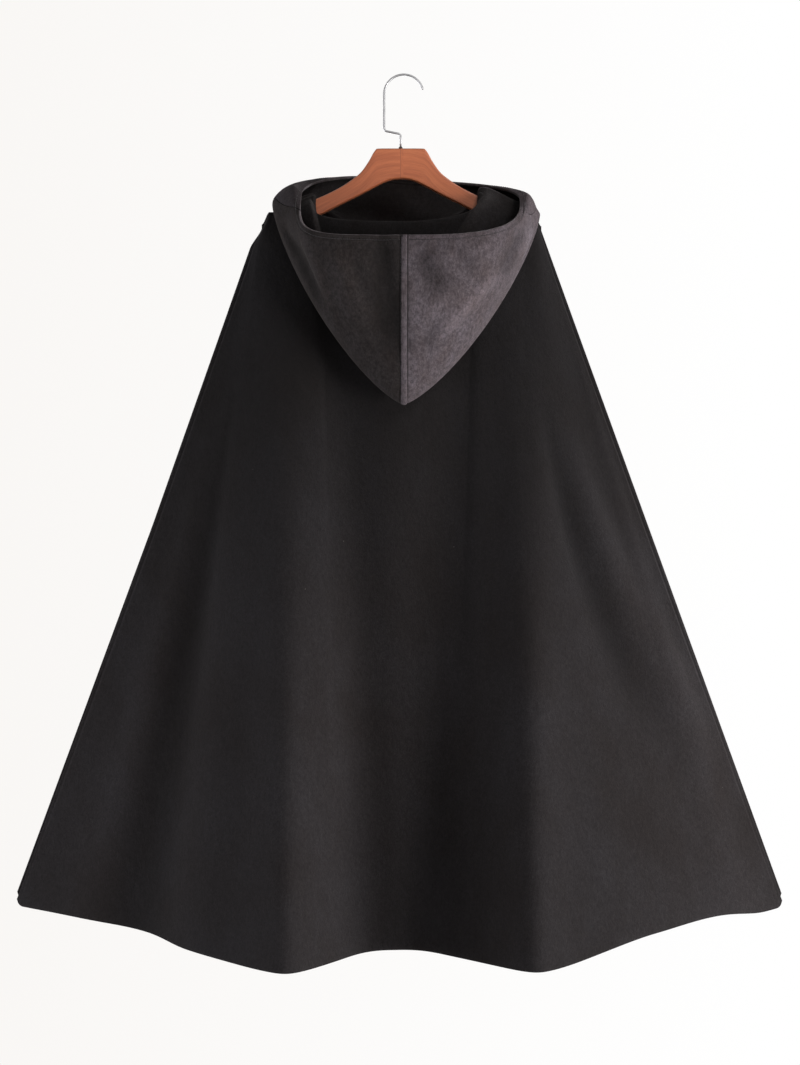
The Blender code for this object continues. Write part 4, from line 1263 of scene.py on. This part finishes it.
hook_middle = WIRE / 2 - HOOK_RADIUS
turns = np.radians(np.linspace(16.0, 180.0, 60))
over = np.stack([HOOK_RADIUS * np.cos(turns), hook_middle + HOOK_RADIUS * np.sin(turns)], axis=1)
wood_top = ARM[0, 1]
crank_corners = (
    (-HOOK_RADIUS, hook_middle - 2.0 * MM), (-HOOK_RADIUS, -HOOK_SHANK),
    (WOOD_MIDDLE, -HOOK_STEM), (WOOD_MIDDLE, wood_top + 0.3 * MM),
)
crank = smooth_path(crank_corners, 4.0 * MM)
hook_wire = wire_piece("hook_wire", np.concatenate([over, crank]), WIRE / 2, wire_finish)
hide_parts("hanger_hook")
collar_path = np.array(((WOOD_MIDDLE, wood_top + 0.6 * MM), (WOOD_MIDDLE, wood_top + 0.05 * MM)))
collar = wire_piece("hook_collar", collar_path, COLLAR, collar_finish)
print("hook:", len(hook_wire.data.polygons), "faces, collar:", len(collar.data.polygons), "faces")

# %% [markdown]
# ## The cloth is done
# All its pieces are made. The cuts are not rectangles: the panels are trapezoids with a scooped neck, and
# the hood's halves are rounded triangles.

# %% The cloth is done
print("all the pieces of cloth are made")

# %% [markdown]
# ## Light and floor
# The cloth is almost black, so the light has to draw its folds. A broad soft light stands to the camera's
# right, a weaker one to its left and a third above. A fourth lights the front, and a white room fills the
# rest. The floor is pale and far enough below to stay out of the picture.

# %% Make the white room
scene = bpy.context.scene
scene.view_settings.view_transform = "Standard"
world = bpy.data.worlds.new("white_room")
scene.world = world
world.use_nodes = True
tree = world.node_tree
ways = add_node(tree, "ShaderNodeTexCoord")
split = add_node(tree, "ShaderNodeSeparateXYZ")
tree.links.new(ways.outputs["Generated"], split.inputs["Vector"])
# Painted light: the backdrop that the camera sees is white to the right and darker to the left, as light
# falls on a wall from the right.
to_right = add_node(tree, "ShaderNodeMapRange", From_Min=-0.20, From_Max=0.16)
tree.links.new(split.outputs["X"], to_right.inputs["Value"])
wall_tones = ((0.0, (0.945, 0.925, 0.905)), (1.0, (1.0, 1.0, 1.0)))
wall = colours_of(tree, to_right.outputs["Result"], wall_tones)
backdrop = tree.nodes["Background"]
tree.links.new(wall, backdrop.inputs["Color"])
rays = add_node(tree, "ShaderNodeLightPath")
lit = add_node(tree, "ShaderNodeMapRange", To_Min=0.11, To_Max=0.75)  # brighter in reflections
tree.links.new(rays.outputs["Is Glossy Ray"], lit.inputs["Value"])
room = add_node(tree, "ShaderNodeBackground", Color=(1.0, 0.98, 0.97, 1.0))
tree.links.new(lit.outputs["Result"], room.inputs["Strength"])
choose = add_node(tree, "ShaderNodeMixShader")
tree.links.new(rays.outputs["Is Camera Ray"], choose.inputs[0])
tree.links.new(room.outputs[0], choose.inputs[1])
tree.links.new(backdrop.outputs[0], choose.inputs[2])
tree.links.new(choose.outputs[0], tree.nodes["World Output"].inputs["Surface"])
print("the room lights the cloth at", lit.inputs["To Min"].default_value)


# %% Light the poncho
def soft_light(name, place, aim, size, power, colour):
    data = bpy.data.lights.new(name, "AREA")
    data.size = size
    data.energy = power
    data.color = colour
    lamp = bpy.data.objects.new(name, data)
    lamp.location = place
    lamp.rotation_euler = (Vector(aim) - Vector(place)).to_track_quat("-Z", "Y").to_euler()
    scene.collection.objects.link(lamp)


soft_light("key_light", (2.6, -1.3, -1.0), (0.0, 0.0, -0.6), 1.2, 110.0, (1.0, 0.98, 0.97))
soft_light("left_light", (-2.4, -0.4, -0.9), (0.0, 0.0, -0.6), 1.0, 38.0, (0.94, 0.95, 1.0))
soft_light("top_light", (1.3, -1.5, 1.1), (0.0, 0.0, -0.2), 0.9, 16.0, (1.0, 0.98, 0.97))
soft_light("front_light", (-0.6, 2.6, -0.4), (0.0, 0.0, -0.6), 1.6, 70.0, (0.98, 0.98, 1.0))

# %% Lay the floor
floor_finish, tree, shader = new_finish("pale_floor")
scuffs = noise(tree, object_place(tree), 3.0)
floor_colour = colours_of(tree, scuffs, ((0.3, (0.80, 0.79, 0.78)), (0.7, (0.86, 0.85, 0.84))))
tree.links.new(floor_colour, shader.inputs["Base Color"])
shader.inputs["Roughness"].default_value = 0.9
FLOOR_Z = -1.95
FLOOR_HALF = 2.1
floor_mesh = bpy.data.meshes.new("floor")
corner_signs = ((-1, -1), (1, -1), (1, 1), (-1, 1))
floor_corners = [(x * FLOOR_HALF, y * FLOOR_HALF, FLOOR_Z) for x, y in corner_signs]
floor_mesh.from_pydata(floor_corners, [], [(0, 1, 2, 3)])
floor_mesh.materials.append(floor_finish)
floor = bpy.data.objects.new("floor", floor_mesh)
scene.collection.objects.link(floor)
for leftover in ("Cube", "Light", "Camera"):
    if leftover in bpy.data.objects:
        bpy.data.objects.remove(bpy.data.objects[leftover], do_unlink=True)
print("the floor lies at", FLOOR_Z, "m")
